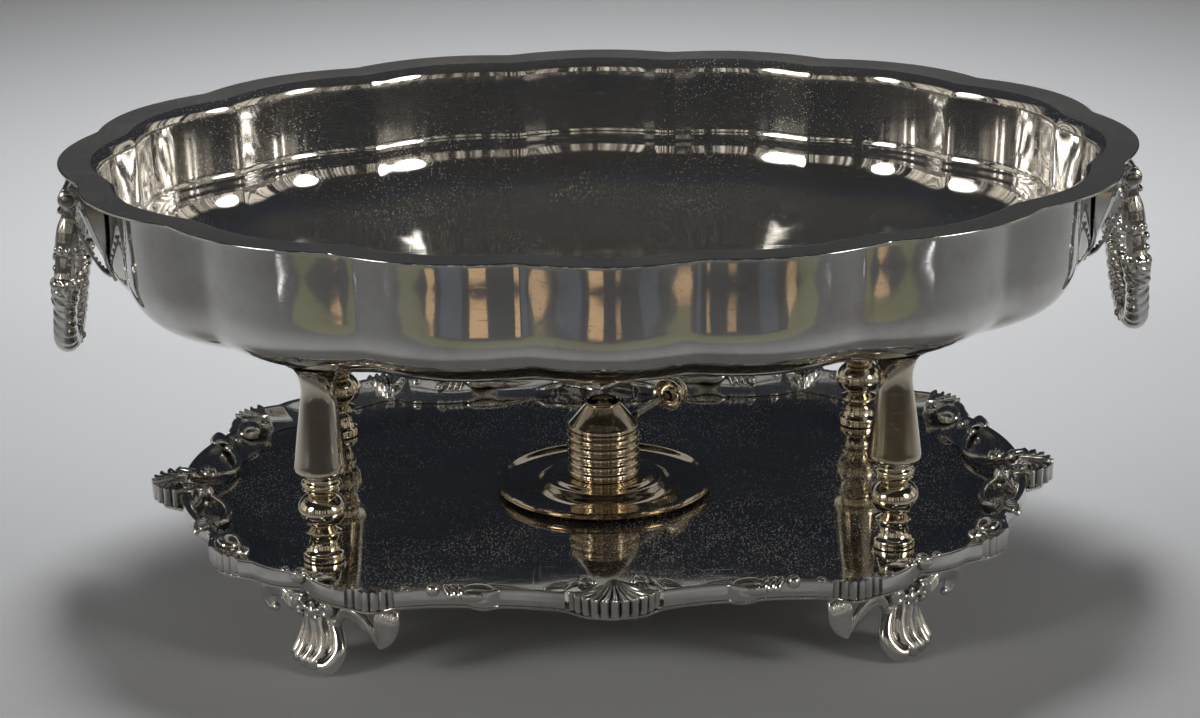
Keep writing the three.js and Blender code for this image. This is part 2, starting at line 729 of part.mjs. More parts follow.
// A leaf-shaped console: its side view meets its front view, and its back follows the wall.
function bracket() {
  const halfWidth = EYE_Y - EYE_WIDTH / 2 - SEAT_GAP;
  const wallX = HINGE_X - 30;
  const foot = HINGE_HEIGHT - BRACKET_FOOT_DROP;
  const sideView = new THREE.Shape();
  sideView.moveTo(wallX, HINGE_HEIGHT + 6);
  sideView.lineTo(HINGE_X - 3, HINGE_HEIGHT + 6);
  sideView.absarc(HINGE_X, HINGE_HEIGHT, BRACKET_BARREL_RADIUS, Math.PI * 0.6, -Math.PI * 0.55, true);
  sideView.quadraticCurveTo(HINGE_X - 5.5, HINGE_HEIGHT - 24, HINGE_X - 15, foot);
  sideView.lineTo(wallX, foot);
  const frontView = new THREE.Shape();
  frontView.moveTo(-halfWidth, HINGE_HEIGHT + 10);
  frontView.lineTo(-halfWidth, HINGE_HEIGHT - 6);
  frontView.quadraticCurveTo(-0.8 * halfWidth, foot + 12, -BRACKET_TIP_HALF_WIDTH, foot + 3);
  frontView.lineTo(0, foot);
  frontView.lineTo(BRACKET_TIP_HALF_WIDTH, foot + 3);
  frontView.quadraticCurveTo(0.8 * halfWidth, foot + 12, halfWidth, HINGE_HEIGHT - 6);
  frontView.lineTo(halfWidth, HINGE_HEIGHT + 10);
  const length = 2 * halfWidth;
  const bySide = new THREE.ExtrudeGeometry(sideView, { depth: length, bevelEnabled: false, curveSegments: 6 });
  const byFront = new THREE.ExtrudeGeometry(frontView, { depth: 60, bevelEnabled: false, curveSegments: 5 });
  bySide.rotateX(Math.PI / 2).translate(0, halfWidth, 0);
  byFront.rotateX(Math.PI / 2).rotateZ(Math.PI / 2).translate(wallX - 5, 0, 0);
  const leaf = common(closed(bySide), closed(byFront));
  const bore = barrel(PIN_RADIUS + BORE_CLEARANCE, 4 * halfWidth, 12).translate(HINGE_X, 0, HINGE_HEIGHT);
  return cut(leaf, bowlEnvelope(), bore);
}

function buildBasin() {
  add("basin", basin(), silverPlate());
  const console = bracket();
  for (const [name, turn] of [["left", Math.PI], ["right", 0]]) {
    const end = new THREE.Group();
    end.rotation.z = turn;
    model.add(end);
    add(`handle_bracket_${name}`, console.clone(), castSilver(), end);
    const hinge = new THREE.Group();
    hinge.position.set(HINGE_X, 0, HINGE_HEIGHT);
    end.add(hinge);
    add(`hinge_pin_${name}`, hingePin(), steel(), hinge);
    add(`ring_handle_${name}`, handle(), castSilver(), hinge);
  }
}

// Spirit burner
function saucerProfile() {
  const rim = SAUCER_RADIUS;
  const sheet = SAUCER_SHEET;
  const upper = [
    [rim - 1, SAUCER_RIM_HEIGHT],
    [rim - 2.4, SAUCER_RIM_HEIGHT - 0.6],
    [0.88 * rim, sheet + 0.6],
    [0.76 * rim, sheet + 0.9],
    [0.6 * rim, sheet + 2.6],
    [0.54 * rim, FONT_BOTTOM - 0.7],
    [0.48 * rim, FONT_BOTTOM - 0.6],
    [0.44 * rim, FONT_BOTTOM - SEAT_GAP],
    [0, FONT_BOTTOM - SEAT_GAP],
  ];
  const lower = [
    [0, FONT_BOTTOM - SEAT_GAP - sheet],
    [0.47 * rim, FONT_BOTTOM - SEAT_GAP - sheet],
    [0.58 * rim, 1],
    [0.62 * rim, 0],
    [0.86 * rim, 0],
    [rim - 1.2, 1.6],
    [rim - 0.2, 2.2],
    [rim - 0.9, 3.1],
    [rim, 3.8],
  ];
  return [...lower, ...upper];
}

function fontProfile() {
  const inner = FONT_RADIUS - GROOVE_DEPTH - FONT_WALL;
  const pitch = (FONT_TOP - FONT_BOTTOM) / FONT_RIBS;
  const ribs = Array.from({ length: FONT_RIBS }, (_, index) => {
    const start = FONT_BOTTOM + index * pitch;
    const groove = FONT_RADIUS - GROOVE_DEPTH;
    return [[groove, start], [FONT_RADIUS, start + 0.3 * pitch], [FONT_RADIUS, start + 0.8 * pitch]];
  }).flat();
  return [
    [0, FONT_BOTTOM],
    ...ribs,
    [FONT_RADIUS - GROOVE_DEPTH, FONT_TOP],
    [inner, FONT_TOP],
    [inner, FONT_BOTTOM + FONT_WALL],
    [0, FONT_BOTTOM + FONT_WALL],
  ];
}

function lidProfile() {
  const bottom = FONT_TOP + SEAT_GAP;
  const top = bottom + LID_THICKNESS;
  const outer = FONT_RADIUS - 0.5;
  return [[NECK_RADIUS, bottom], [outer, bottom], [outer, top], [NECK_RADIUS, top], [NECK_RADIUS, bottom]];
}

function wickTubeProfile() {
  const bottom = FONT_BOTTOM + FONT_WALL + 4;
  const flange = FONT_TOP + SEAT_GAP + LID_THICKNESS + SEAT_GAP;
  const inner = WICK_TUBE_RADIUS - WICK_TUBE_WALL;
  return [
    [inner, bottom],
    [WICK_TUBE_RADIUS, bottom],
    [WICK_TUBE_RADIUS, flange],
    [NECK_RADIUS + 2, flange],
    [NECK_RADIUS + 2, flange + 0.9],
    [WICK_TUBE_RADIUS, flange + 0.9],
    [WICK_TUBE_RADIUS, WICK_TOP - 1],
    [inner, WICK_TOP - 1],
    [inner, bottom],
  ];
}

function capProfile() {
  const bottom = FONT_TOP + LID_THICKNESS + 2 * SEAT_GAP;
  return [
    [CAP_BASE_RADIUS - 1.4, bottom],
    [CAP_BASE_RADIUS, bottom + 0.4],
    [CAP_BASE_RADIUS, bottom + 1.4],
    [CAP_BASE_RADIUS - CAP_FOOT_STEP, bottom + CAP_FOOT_HEIGHT],
    [CAP_TOP_RADIUS - CAP_LIP_STEP, CAP_TOP - CAP_LIP_HEIGHT],
    [CAP_TOP_RADIUS, CAP_TOP - 1],
    [CAP_TOP_RADIUS, CAP_TOP],
    [CAP_TOP_RADIUS - CAP_WALL, CAP_TOP],
    [CAP_TOP_RADIUS - CAP_WALL - 0.3, CAP_TOP - 1.8],
    [CAP_BASE_RADIUS - CAP_WALL - 1.4, bottom + 2],
    [CAP_BASE_RADIUS - 1.4, bottom],
  ];
}

// Knob at the lever's end: a dish that faces the burner, a groove and a domed disc
function knobProfile() {
  const bore = LEVER_RADIUS + SEAT_GAP;
  return [
    [0, KNOB_BORE_DEPTH],
    [bore, KNOB_BORE_DEPTH],
    [bore, 0.8],
    [3, 0.8],
    [3.4, 2.8],
    [0.7 * KNOB_RADIUS, 2.6],
    [KNOB_RADIUS - 0.8, 0],
    [KNOB_RADIUS, 1],
    [KNOB_RADIUS, 3.6],
    [KNOB_RADIUS - 1.8, 4.4],
    [KNOB_RADIUS - 1.8, 5.4],
    [KNOB_RADIUS - 0.2, 6],
    [KNOB_RADIUS - 0.4, 7.6],
    [0.55 * KNOB_RADIUS, KNOB_LENGTH - 0.4],
    [0, KNOB_LENGTH],
  ];
}

function buildBurner() {
  const burner = new THREE.Group();
  burner.position.z = BURNER_FLOOR;
  model.add(burner);
  add("burner_saucer", turned(saucerProfile(), SAUCER_SIDES), warmPlate(), burner);
  add("burner_font", turned(fontProfile(), BURNER_SIDES), warmPlate(), burner);
  add("burner_lid", turned(lidProfile(), BURNER_SIDES), warmPlate(), burner);
  add("wick_tube", turned(wickTubeProfile(), 12), warmPlate(), burner);
  const wickRadius = WICK_TUBE_RADIUS - WICK_TUBE_WALL - SEAT_GAP;
  const wickBottom = FONT_BOTTOM + FONT_WALL + SEAT_GAP;
  const wick = [[0, wickBottom], [wickRadius, wickBottom], [wickRadius, WICK_TOP], [0, WICK_TOP]];
  add("wick", turned(wick, 10), cottonWick(), burner);
  add("burner_cap", turned(capProfile(), BURNER_SIDES), warmPlate(), burner);

  const lever = new THREE.Group();
  const angle = radians(LEVER_ANGLE);
  const start = Math.sqrt((CAP_BASE_RADIUS + SEAT_GAP) ** 2 - (LEVER_OFFSET - LEVER_RADIUS) ** 2);
  lever.rotation.order = "ZYX";
  lever.rotation.set(0, Math.PI / 2, angle);
  lever.position.set(
    start * Math.cos(angle) + LEVER_OFFSET * Math.sin(angle),
    start * Math.sin(angle) - LEVER_OFFSET * Math.cos(angle),
    LEVER_HEIGHT,
  );
  burner.add(lever);
  const rod = [[0, 0], [LEVER_RADIUS, 0], [LEVER_RADIUS, LEVER_LENGTH], [0, LEVER_LENGTH]];
  add("lever_rod", turned(rod, 10), steel(), lever);
  const knobStart = LEVER_LENGTH + SEAT_GAP - KNOB_BORE_DEPTH;
  add("lever_knob", turned(knobProfile(), 12), warmPlate(), lever).position.z = knobStart;
}

buildSalver();
buildFeet();
buildColumns();
buildBasin();
buildBurner();

export default model;
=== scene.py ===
"""Looks of an oval silver dish warmer: a lobed basin on columns over a salver with a spirit burner."""
import math

import bpy
import numpy as np
from mathutils import Matrix, Vector


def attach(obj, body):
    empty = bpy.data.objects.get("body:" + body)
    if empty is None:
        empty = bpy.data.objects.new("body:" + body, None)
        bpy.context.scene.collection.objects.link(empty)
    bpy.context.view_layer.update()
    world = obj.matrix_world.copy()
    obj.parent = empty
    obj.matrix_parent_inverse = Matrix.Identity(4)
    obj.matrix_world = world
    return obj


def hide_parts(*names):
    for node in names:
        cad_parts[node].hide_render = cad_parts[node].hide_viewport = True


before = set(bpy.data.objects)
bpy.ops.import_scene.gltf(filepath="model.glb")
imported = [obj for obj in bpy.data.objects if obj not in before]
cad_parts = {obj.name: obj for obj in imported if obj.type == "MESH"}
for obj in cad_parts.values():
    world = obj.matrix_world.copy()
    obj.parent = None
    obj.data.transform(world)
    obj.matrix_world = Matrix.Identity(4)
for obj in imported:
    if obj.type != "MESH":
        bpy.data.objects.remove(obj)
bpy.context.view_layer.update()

MM = 0.001
CORNERS = (
    ("front_left", -1, -1),
    ("front_right", 1, -1),
    ("back_left", -1, 1),
    ("back_right", 1, 1),
)

# Camera of the photograph: degrees, millimetres, and the focal length in pixels of the photograph
CAMERA_PITCH = 18.41
CAMERA_AROUND = 1.36
CAMERA_ROLL = 0.82
CAMERA_DISTANCE = 1751.36
CAMERA_AIM_X = -1.08
CAMERA_AIM_HEIGHT = 103.64
FOCAL_PIXELS = 3720.19
PHOTO_WIDTH = 1200
SENSOR_WIDTH = 36.0

# Salver, in millimetres
FIELD_HEIGHT = 39.5
PLATE_THICKNESS = 1.6
PLATE_INSET = 1.2
BORDER_BOTTOM = 39.8
BORDER_TOP = 47.5
BORDER_WIDTH = 19.0
TRAY_HALF_LENGTH = 200.0
TRAY_HALF_WIDTH = 154.0
BORDER_STEP = 0.7
# Share of the half length and of the half width that each run goes to, and its bulge
BORDER_RUNS = (
    (0.108, 1.0, 0),
    (0.25, 0.958, -1),
    (0.32, 0.951, 3.4),
    (0.48, 0.955, -1.5),
    (0.575, 0.955, 4.5),
    (0.69, 0.785, 3.5),
    (0.805, 0.701, 3),
    (0.91, 0.5, 7.5),
    (0.925, 0.409, -1.5),
    (0.995, 0.118, 2.5),
)
WIDE_SHELL = {"reach": 167.0, "radius": 26.0, "spread": 60.0, "flutes": 11}
END_SHELL = {"reach": 214.5, "radius": 18.5, "spread": 76.0, "flutes": 9}

# Feet
FOOT_X = 129.0
FOOT_Y = 113.0
FOOT_TURN = 50.5
FOOT_TOP = 37.6

# Columns
COLUMN_X = 129.4
COLUMN_Y = 84.0
LEG_GAP = 0.3

# Basin
RIM_HEIGHT = 207.0
BASIN_BOTTOM = 134.0
BASIN_THICKNESS = 1.4
CUSP_HALF_LENGTH = 243.5
CUSP_HALF_WIDTH = 184.4
CUSP_ANGLES = (14.3, 38.6, 60.9, 80.3)
LOBE_RISE = 6.0
FLOOR_LOBE_RISE = 9.5
LOBE_STEPS = 22
WALL_FOOT_INSET = 19.5
WALL_DEPTH = 37.5
FLOOR_HALF_LENGTH = 149.0
FLOOR_HALF_WIDTH = 72.0
FLANGE_END = 12.4
OUTER_ROLL = 5.6
INNER_ROLL = 7.0
BOWL_CURVE = 2.55

# Drop handles
HINGE_X = 242.0
HINGE_HEIGHT = 196.0
PIN_BORE_RADIUS = 2.0
EYE_Y = 30.0
HANDLE_DROP = 75.0
HANDLE_HALF_WIDTH = 32.0
HANDLE_TILT = 5.0

# Burner
BURNER_FLOOR = 39.8
CAP_RADIUS = 16.6
SEAT_GAP = 0.3
LEVER_ANGLE = 59.6
LEVER_OFFSET = 9.0
LEVER_HEIGHT = 32.3
LEVER_LENGTH = 38.4
LEVER_RADIUS = 1.9
KNOB_RADIUS = 7.9
KNOB_SOCKET = 6.5


# Shaping helpers
def deselect():
    if bpy.context.mode != "OBJECT":
        bpy.ops.object.mode_set(mode="OBJECT")
    bpy.ops.object.select_all(action="DESELECT")


def take(piece):
    deselect()
    piece.select_set(True)
    bpy.context.view_layer.objects.active = piece


def face_outwards(piece):
    take(piece)
    bpy.ops.object.mode_set(mode="EDIT")
    bpy.ops.mesh.select_all(action="SELECT")
    bpy.ops.mesh.remove_doubles(threshold=1e-6)
    bpy.ops.mesh.normals_make_consistent(inside=False)
    bpy.ops.object.mode_set(mode="OBJECT")
    return piece


def smooth(piece, angle):
    take(piece)
    bpy.ops.object.shade_smooth_by_angle(angle=math.radians(angle))


def modify(piece, kind, **settings):
    take(piece)
    modifier = piece.modifiers.new(kind.title(), kind)
    for name, value in settings.items():
        setattr(modifier, name, value)
    bpy.ops.object.modifier_apply(modifier=modifier.name)


def join(piece, extra):
    """Moves the mesh of another object into a piece."""
    take(extra)
    piece.select_set(True)
    bpy.context.view_layer.objects.active = piece
    bpy.ops.object.join()


def new_object(name, data):
    made = bpy.data.objects.new(name, data)
    bpy.context.scene.collection.objects.link(made)
    return made


def new_piece(name, points, faces):
    """An object with a mesh of points in millimetres."""
    mesh = bpy.data.meshes.new(name)
    mesh.from_pydata((np.array(points) * MM).tolist(), [], faces)
    return face_outwards(new_object(name, mesh))


def loop_faces(rows, count):
    """Quads between rows of count points each, and a face over each end."""
    faces = []
    for row in range(rows - 1):
        low, high = row * count, (row + 1) * count
        for step in range(count):
            after = (step + 1) % count
            faces.append((low + step, low + after, high + after, high + step))
    faces.append(tuple(range(count))[::-1])
    faces.append(tuple(range((rows - 1) * count, rows * count)))
    return faces


def skin(name, loops):
    """A closed piece over loops of equal length, in millimetres."""
    return new_piece(name, np.concatenate(loops), loop_faces(len(loops), len(loops[0])))


def turned(name, profile, centre=(0, 0), base=0.0, sides=72, ring=False):
    """A circle extruded from ring to ring of a profile of (radius, height). ring closes it on itself."""
    deselect()
    x, y = (value * MM for value in centre)
    radius, height = profile[0]
    fill = "NOTHING" if ring else "NGON"
    place = (x, y, (base + height) * MM)
    bpy.ops.mesh.primitive_circle_add(vertices=sides, radius=radius * MM, fill_type=fill, location=place)
    piece = bpy.context.object
    piece.name = name
    bpy.ops.object.mode_set(mode="EDIT")
    bpy.ops.mesh.select_all(action="SELECT")
    for next_radius, next_height in profile[1:]:
        rise = (0, 0, (next_height - height) * MM)
        bpy.ops.mesh.extrude_region_move(TRANSFORM_OT_translate={"value": rise})
        share = next_radius / radius
        middle = (x, y, (base + next_height) * MM)
        bpy.ops.transform.resize(value=(share, share, 1), center_override=middle)
        radius, height = next_radius, next_height
    bpy.ops.object.mode_set(mode="OBJECT")
    bpy.ops.object.transform_apply(location=True, rotation=True, scale=True)
    return face_outwards(piece)


def rounded(profile, radius, steps=3):
    """The profile with each inner corner turned into a small arc."""
    points = [np.array(point, float) for point in profile]
    made = [points[0]]
    for before, corner, after in zip(points, points[1:], points[2:]):
        back, on = before - corner, after - corner
        reach = min(radius, 0.45 * np.linalg.norm(back), 0.45 * np.linalg.norm(on))
        start = corner + back / np.linalg.norm(back) * reach
        end = corner + on / np.linalg.norm(on) * reach
        for share in np.linspace(0, 1, steps + 1):
            made.append((1 - share) ** 2 * start + 2 * share * (1 - share) * corner + share**2 * end)
    made.append(points[-1])
    return [tuple(point) for point in made]


def travelled(points):
    """Length along a run of points, at each of them."""
    return np.concatenate([[0], np.cumsum(np.linalg.norm(np.diff(points, axis=0), axis=1))])


def curve_through(points, count):
    """Points on a smooth curve through the given ones, evenly spread over its length."""
    knots = np.array(points, float)
    padded = np.vstack([2 * knots[0] - knots[1], knots, 2 * knots[-1] - knots[-2]])
    fine = []
    for index in range(len(knots) - 1):
        a, b, c, d = padded[index : index + 4]
        for t in np.linspace(0, 1, 24, endpoint=False):
            fine.append(0.5 * (
                2 * b + (c - a) * t + (2 * a - 5 * b + 4 * c - d) * t**2 + (3 * b - a - 3 * c + d) * t**3
            ))
    fine.append(knots[-1])
    fine = np.array(fine)
    length = travelled(fine[:, :3])
    at = np.linspace(0, length[-1], count)
    return np.column_stack([np.interp(at, length, fine[:, axis]) for axis in range(fine.shape[1])])


def bar_loops(path, sides, up):
    """Rings round a path of (x, y, z, radius), each of which begins on the side of up."""
    centres, radii = path[:, :3], path[:, 3]
    tangents = np.gradient(centres, axis=0)
    tangents /= np.linalg.norm(tangents, axis=1)[:, None]
    normal = np.array(up, float)
    normal -= tangents[0] * (tangents[0] @ normal)
    if np.linalg.norm(normal) < 1e-3:
        normal = np.cross(tangents[0], (1, 0, 0.01))
    rings = []
    for centre, tangent, radius in zip(centres, tangents, radii):
        normal = normal - tangent * (tangent @ normal)
        normal /= np.linalg.norm(normal)
        side = np.cross(tangent, normal)
        turn = np.linspace(0, 2 * math.pi, sides, endpoint=False)
        rings.append(centre + radius * (np.outer(np.cos(turn), normal) + np.outer(np.sin(turn), side)))
    return rings


class Casting:
    """Gathers overlapping closed forms, which become one cast piece."""

    def __init__(self):
        self.points = []
        self.faces = []

    def add_loops(self, loops):
        start = len(self.points)
        self.points.extend(np.concatenate(loops).tolist())
        for face in loop_faces(len(loops), len(loops[0])):
            self.faces.append(tuple(start + index for index in face))

    def bar(self, points, count, sides, up=(0, 0, 1)):
        self.add_loops(bar_loops(curve_through(points, count), sides, up))

    def ball(self, centre, radius, sizes=(1, 1, 1), turn=0.0, sides=16):
        rings = []
        for lift in np.linspace(-0.5 * math.pi, 0.5 * math.pi, sides // 2 + 1):
            reach = max(0.02, math.cos(lift))
            angle = np.linspace(0, 2 * math.pi, sides, endpoint=False)
            x = radius * sizes[0] * reach * np.cos(angle)
            y = radius * sizes[1] * reach * np.sin(angle)
            z = np.full(sides, radius * sizes[2] * math.sin(lift))
            c, s = math.cos(turn), math.sin(turn)
            rings.append(np.column_stack([x * c - y * s, x * s + y * c, z]) + np.array(centre))
        self.add_loops(rings)

    def wreath(self, centre, u, v, count, start, radius, sizes=(1, 1, 1)):
        """Balls in a ring round a centre. u and v are the ring's half axes."""
        for index in range(count):
            angle = start + 2 * math.pi * index / count
            place = np.array(centre) + math.cos(angle) * np.array(u) + math.sin(angle) * np.array(v)
            self.ball(place, radius, sizes)

    def scroll(self, centre, u, v, radii, turns, start, thick, lift):
        """A spiral bar in the plane of u and v that winds in between two radii and climbs by lift."""
        u, v = np.array(u, float), np.array(v, float)
        out = np.cross(u, v)
        share = np.linspace(0, 1, int(18 * abs(turns)) + 6)
        angle = start + 2 * math.pi * turns * share
        radius = radii[0] + (radii[1] - radii[0]) * share**0.8
        path = (
            np.array(centre, float)
            + np.outer(radius * np.cos(angle), u)
            + np.outer(radius * np.sin(angle), v)
            + np.outer(lift * share, out)
        )
        width = thick[0] + (thick[1] - thick[0]) * share
        self.add_loops(bar_loops(np.column_stack([path, width]), 10, out))

    def piece(self, name, grain):
        """One object of the forms, fused by a voxel grid of grain millimetres."""
        made = new_piece(name, self.points, self.faces)
        modify(made, "REMESH", mode="VOXEL", voxel_size=grain * MM)
        modify(made, "SMOOTH", factor=0.5, iterations=2)
        take(made)
        bpy.ops.object.shade_smooth()
        return made


def copy_placed(source, name, matrix):
    """A copy with its own mesh, moved by a matrix, with its faces outwards again if it was mirrored."""
    mesh = source.data.copy()
    mesh.transform(matrix)
    if matrix.determinant() < 0:
        mesh.flip_normals()
    return new_object(name, mesh)


def ride(piece, body, slot, *nodes):
    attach(piece, body)
    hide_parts(*nodes)


def paint(piece, *materials):
    piece.data.materials.clear()
    for material in materials:
        piece.data.materials.append(material)


# Materials
def linear(colour):
    """Linear values of an sRGB colour such as 'c0c0c0'."""
    parts = [int(colour[start : start + 2], 16) / 255 for start in (0, 2, 4)]
    return tuple(c / 12.92 if c <= 0.04045 else ((c + 0.055) / 1.055) ** 2.4 for c in parts) + (1.0,)


def new_material(name):
    material = bpy.data.materials.new(name)
    material.use_nodes = True
    return material, material.node_tree, material.node_tree.nodes["Principled BSDF"]


def add_node(tree, kind, output, inputs=None, **settings):
    """Adds a node and gives one of its outputs. inputs maps a socket to a value, or to what feeds it."""
    made = tree.nodes.new("ShaderNode" + kind)
    for name, value in settings.items():
        setattr(made, name, value)
    for socket, value in (inputs or {}).items():
        if isinstance(value, bpy.types.NodeSocket):
            tree.links.new(value, made.inputs[socket])
        else:
            made.inputs[socket].default_value = value
    return made.outputs[output]


def clouding(tree, place):
    """Cloudy dulling, in patches of about 35 mm that are broken up down to about 2 mm."""
    cloud = add_node(
        tree, "TexNoise", "Fac", {"Vector": place, "Scale": 28.0, "Detail": 4.0, "Roughness": 0.6}
    )
    return add_node(
        tree, "MapRange", "Result", {"Value": cloud, "From Min": 0.42, "From Max": 0.72},
        interpolation_type="SMOOTHSTEP",
    )


def hairlines(tree, place):
    """Scratches about 0.3 mm wide in two directions, wider than real hairlines so that they show."""
    found = []
    for turn, stretch in ((0.5, (900.0, 40.0, 900.0)), (2.1, (50.0, 1100.0, 1100.0))):
        laid = add_node(
            tree, "Mapping", "Vector",
            {"Vector": place, "Rotation": (0.15, 0.1, turn), "Scale": stretch},
        )
        scratch = add_node(tree, "TexNoise", "Fac", {"Vector": laid, "Scale": 1.0, "Detail": 2.0})
        thin = {"Value": scratch, "From Min": 0.62, "From Max": 0.8}
        found.append(add_node(tree, "MapRange", "Result", thin))
    return add_node(tree, "Math", 0, dict(enumerate(found)), operation="MAXIMUM")


def pits(tree, place, pitting):
    """Pits through the plate, at most one in each cell of 1.25 mm, up to 0.6 mm across."""
    cells = add_node(
        tree, "TexVoronoi", "Distance", {"Vector": place, "Scale": 800.0, "Randomness": 1.0}
    )
    gathered = add_node(
        tree, "TexNoise", "Fac", {"Vector": place, "Scale": 15.0, "Detail": 3.0, "Roughness": 0.6}
    )
    reach = add_node(
        tree, "MapRange", "Result",
        {
            "Value": gathered, "From Min": 0.35, "From Max": 0.62,
            "To Min": 0.25 * pitting, "To Max": pitting,
        },
    )
    inside = add_node(tree, "Math", 0, {0: reach, 1: cells}, operation="SUBTRACT")
    return add_node(tree, "MapRange", "Result", {"Value": inside, "From Min": 0.0, "From Max": 0.05})


def plated(
    name, colour, shade, roughness, worn,
    waviness=0.05, grit=0.0, recess=None, specks=None, pitting=0.25, haze=0.0,
):
    """Metal plate. colour and shade are its clean and dulled colours, roughness and worn their polish.

    waviness is the depth of its swells in mm, grit that of a casting's grain, recess the colour in
    hollows, specks the colour of pits, pitting how large they grow, and haze the share of light that
    fine wear scatters.
    """
    material, tree, shader = new_material(name)
    shader.inputs["Metallic"].default_value = 1.0
    place = add_node(tree, "TexCoord", "Object")
    dull = clouding(tree, place)
    shown = add_node(tree, "Mix", 2, {0: dull, 6: linear(colour), 7: linear(shade)}, data_type="RGBA")
    rough = add_node(tree, "MapRange", "Result", {"Value": dull, "To Min": roughness, "To Max": worn})
    lines = hairlines(tree, place)
    rough = add_node(tree, "Math", 0, {0: lines, 1: 0.1, 2: rough}, operation="MULTIPLY_ADD")
    # Slow waviness of a hand-finished sheet, with swells of about 18 mm, and hairlines cut into it
    wave = add_node(tree, "TexNoise", "Fac", {"Vector": place, "Scale": 55.0, "Detail": 1.0})
    bump = add_node(
        tree, "Bump", "Normal", {"Height": wave, "Strength": 1.0, "Distance": waviness * MM}
    )
    bump = add_node(
        tree, "Bump", "Normal",
        {"Height": lines, "Strength": 0.25, "Distance": 0.02 * MM, "Normal": bump}, invert=True,
    )
    # Fine wear scatters light as a matt surface does, most of all on hairlines and clouded patches
    scatter = haze
    for mask, share in ((dull, 0.5 * haze), (lines, 0.08)):
        scatter = add_node(tree, "Math", 0, {0: mask, 1: share, 2: scatter}, operation="MULTIPLY_ADD")
    if specks:
        spot = pits(tree, place, pitting)
        shown = add_node(tree, "Mix", 2, {0: spot, 6: shown, 7: linear(specks)}, data_type="RGBA")
        rough, scatter = (
            add_node(tree, "Math", 0, {0: spot, 1: share, 2: value}, operation="MULTIPLY_ADD")
            for share, value in ((0.25, rough), (0.75, scatter))
        )
        bump = add_node(
            tree, "Bump", "Normal",
            {"Height": spot, "Strength": 0.4, "Distance": 0.03 * MM, "Normal": bump}, invert=True,
        )
    if grit:
        grain = add_node(tree, "TexNoise", "Fac", {"Vector": place, "Scale": 900.0, "Detail": 3.0})
        bump = add_node(
            tree, "Bump", "Normal",
            {"Height": grain, "Strength": 0.6, "Distance": grit * MM, "Normal": bump},
        )
    if recess:
        # Sulphide that polishing leaves in hollows narrower than about 3 mm
        hollow = add_node(
            tree, "AmbientOcclusion", "AO", {"Distance": 3.0 * MM}, samples=6, only_local=True
        )
        clean = add_node(
            tree, "MapRange", "Result", {"Value": hollow, "From Min": 0.3, "From Max": 0.85},
            interpolation_type="SMOOTHSTEP",
        )
        shown = add_node(tree, "Mix", 2, {0: clean, 6: linear(recess), 7: shown}, data_type="RGBA")
        dark = add_node(tree, "Math", 0, {0: 1.0, 1: clean}, operation="SUBTRACT")
        rough = add_node(tree, "Math", 0, {0: dark, 1: 0.35, 2: rough}, operation="MULTIPLY_ADD")
    metallic = add_node(tree, "Math", 0, {0: 1.0, 1: scatter}, operation="SUBTRACT", use_clamp=True)
    for socket, value in (
        ("Base Color", shown), ("Metallic", metallic), ("Roughness", rough), ("Normal", bump),
    ):
        tree.links.new(value, shader.inputs[socket])
    return material


# Spun silver plate, buffed bright: a near mirror with hairlines and slight clouding
BRIGHT_PLATE = plated(
    "bright_spun_silver_plate", "dad9d6", "c6c3be", 0.05, 0.1,
    waviness=0.08, specks="e8e6e0", pitting=0.05, haze=0.005,
)
# The same sheet inside, where use has left more hairlines and pits
WORN_PLATE = plated(
    "worn_spun_silver_plate", "d6d5d3", "c2bfba", 0.06, 0.12,
    waviness=0.08, specks="eceae6", pitting=0.16, haze=0.032,
)
# The flange is the same plate rubbed down with fine grit: an even satin grey
SATIN_PLATE = plated(
    "satin_rubbed_silver_plate", "bfbebc", "aeaca9", 0.34, 0.42,
    grit=0.012, specks="d8d6d0", pitting=0.14, haze=0.11,
)
# The salver's rolled plate is pitted through in places: a dark mirror full of pale specks
PITTED_PLATE = plated(
    "pitted_rolled_silver_plate", "c2bfb8", "aaa59c", 0.045, 0.1,
    waviness=0.04, specks="f2f0ea", haze=0.03,
)
# Cast and plated ornament: bright on the ridges and grey-brown where polish doesn't reach
CAST_PLATE = plated(
    "cast_plated_ornament", "d6d5d2", "b8b6b2", 0.1, 0.2, grit=0.03, recess="262422", haze=0.05
)
# Turned columns, plate over brass: warm and bright
COLUMN_PLATE = plated("turned_plate_over_brass", "d9d1c0", "cbbb9e", 0.05, 0.12, waviness=0.03)
# Burner: plate worn through to the brass by heat and handling
WARM_PLATE = plated("heat_worn_plate_on_brass", "d3c7b3", "b8a487", 0.07, 0.16, waviness=0.03)
# Pins, studs, nuts and the lever's rod: drawn steel, a soft grey shine
STEEL = plated("drawn_steel_rod", "9c9992", "7d7973", 0.24, 0.36, waviness=0.02)


def wick_material():
    """Braided cotton: matt off-white, with the relief of strands about 0.8 mm wide."""
    material, tree, shader = new_material("braided_cotton_wick")
    shader.inputs["Roughness"].default_value = 0.95
    shader.inputs["Base Color"].default_value = linear("cfc6b0")
    place = add_node(tree, "TexCoord", "Object")
    strands = add_node(tree, "TexVoronoi", "Distance", {"Vector": place, "Scale": 1200.0})
    bump = add_node(tree, "Bump", "Normal", {"Height": strands, "Strength": 0.8, "Distance": 0.2 * MM})
    tree.links.new(bump, shader.inputs["Normal"])
    return material


COTTON = wick_material()


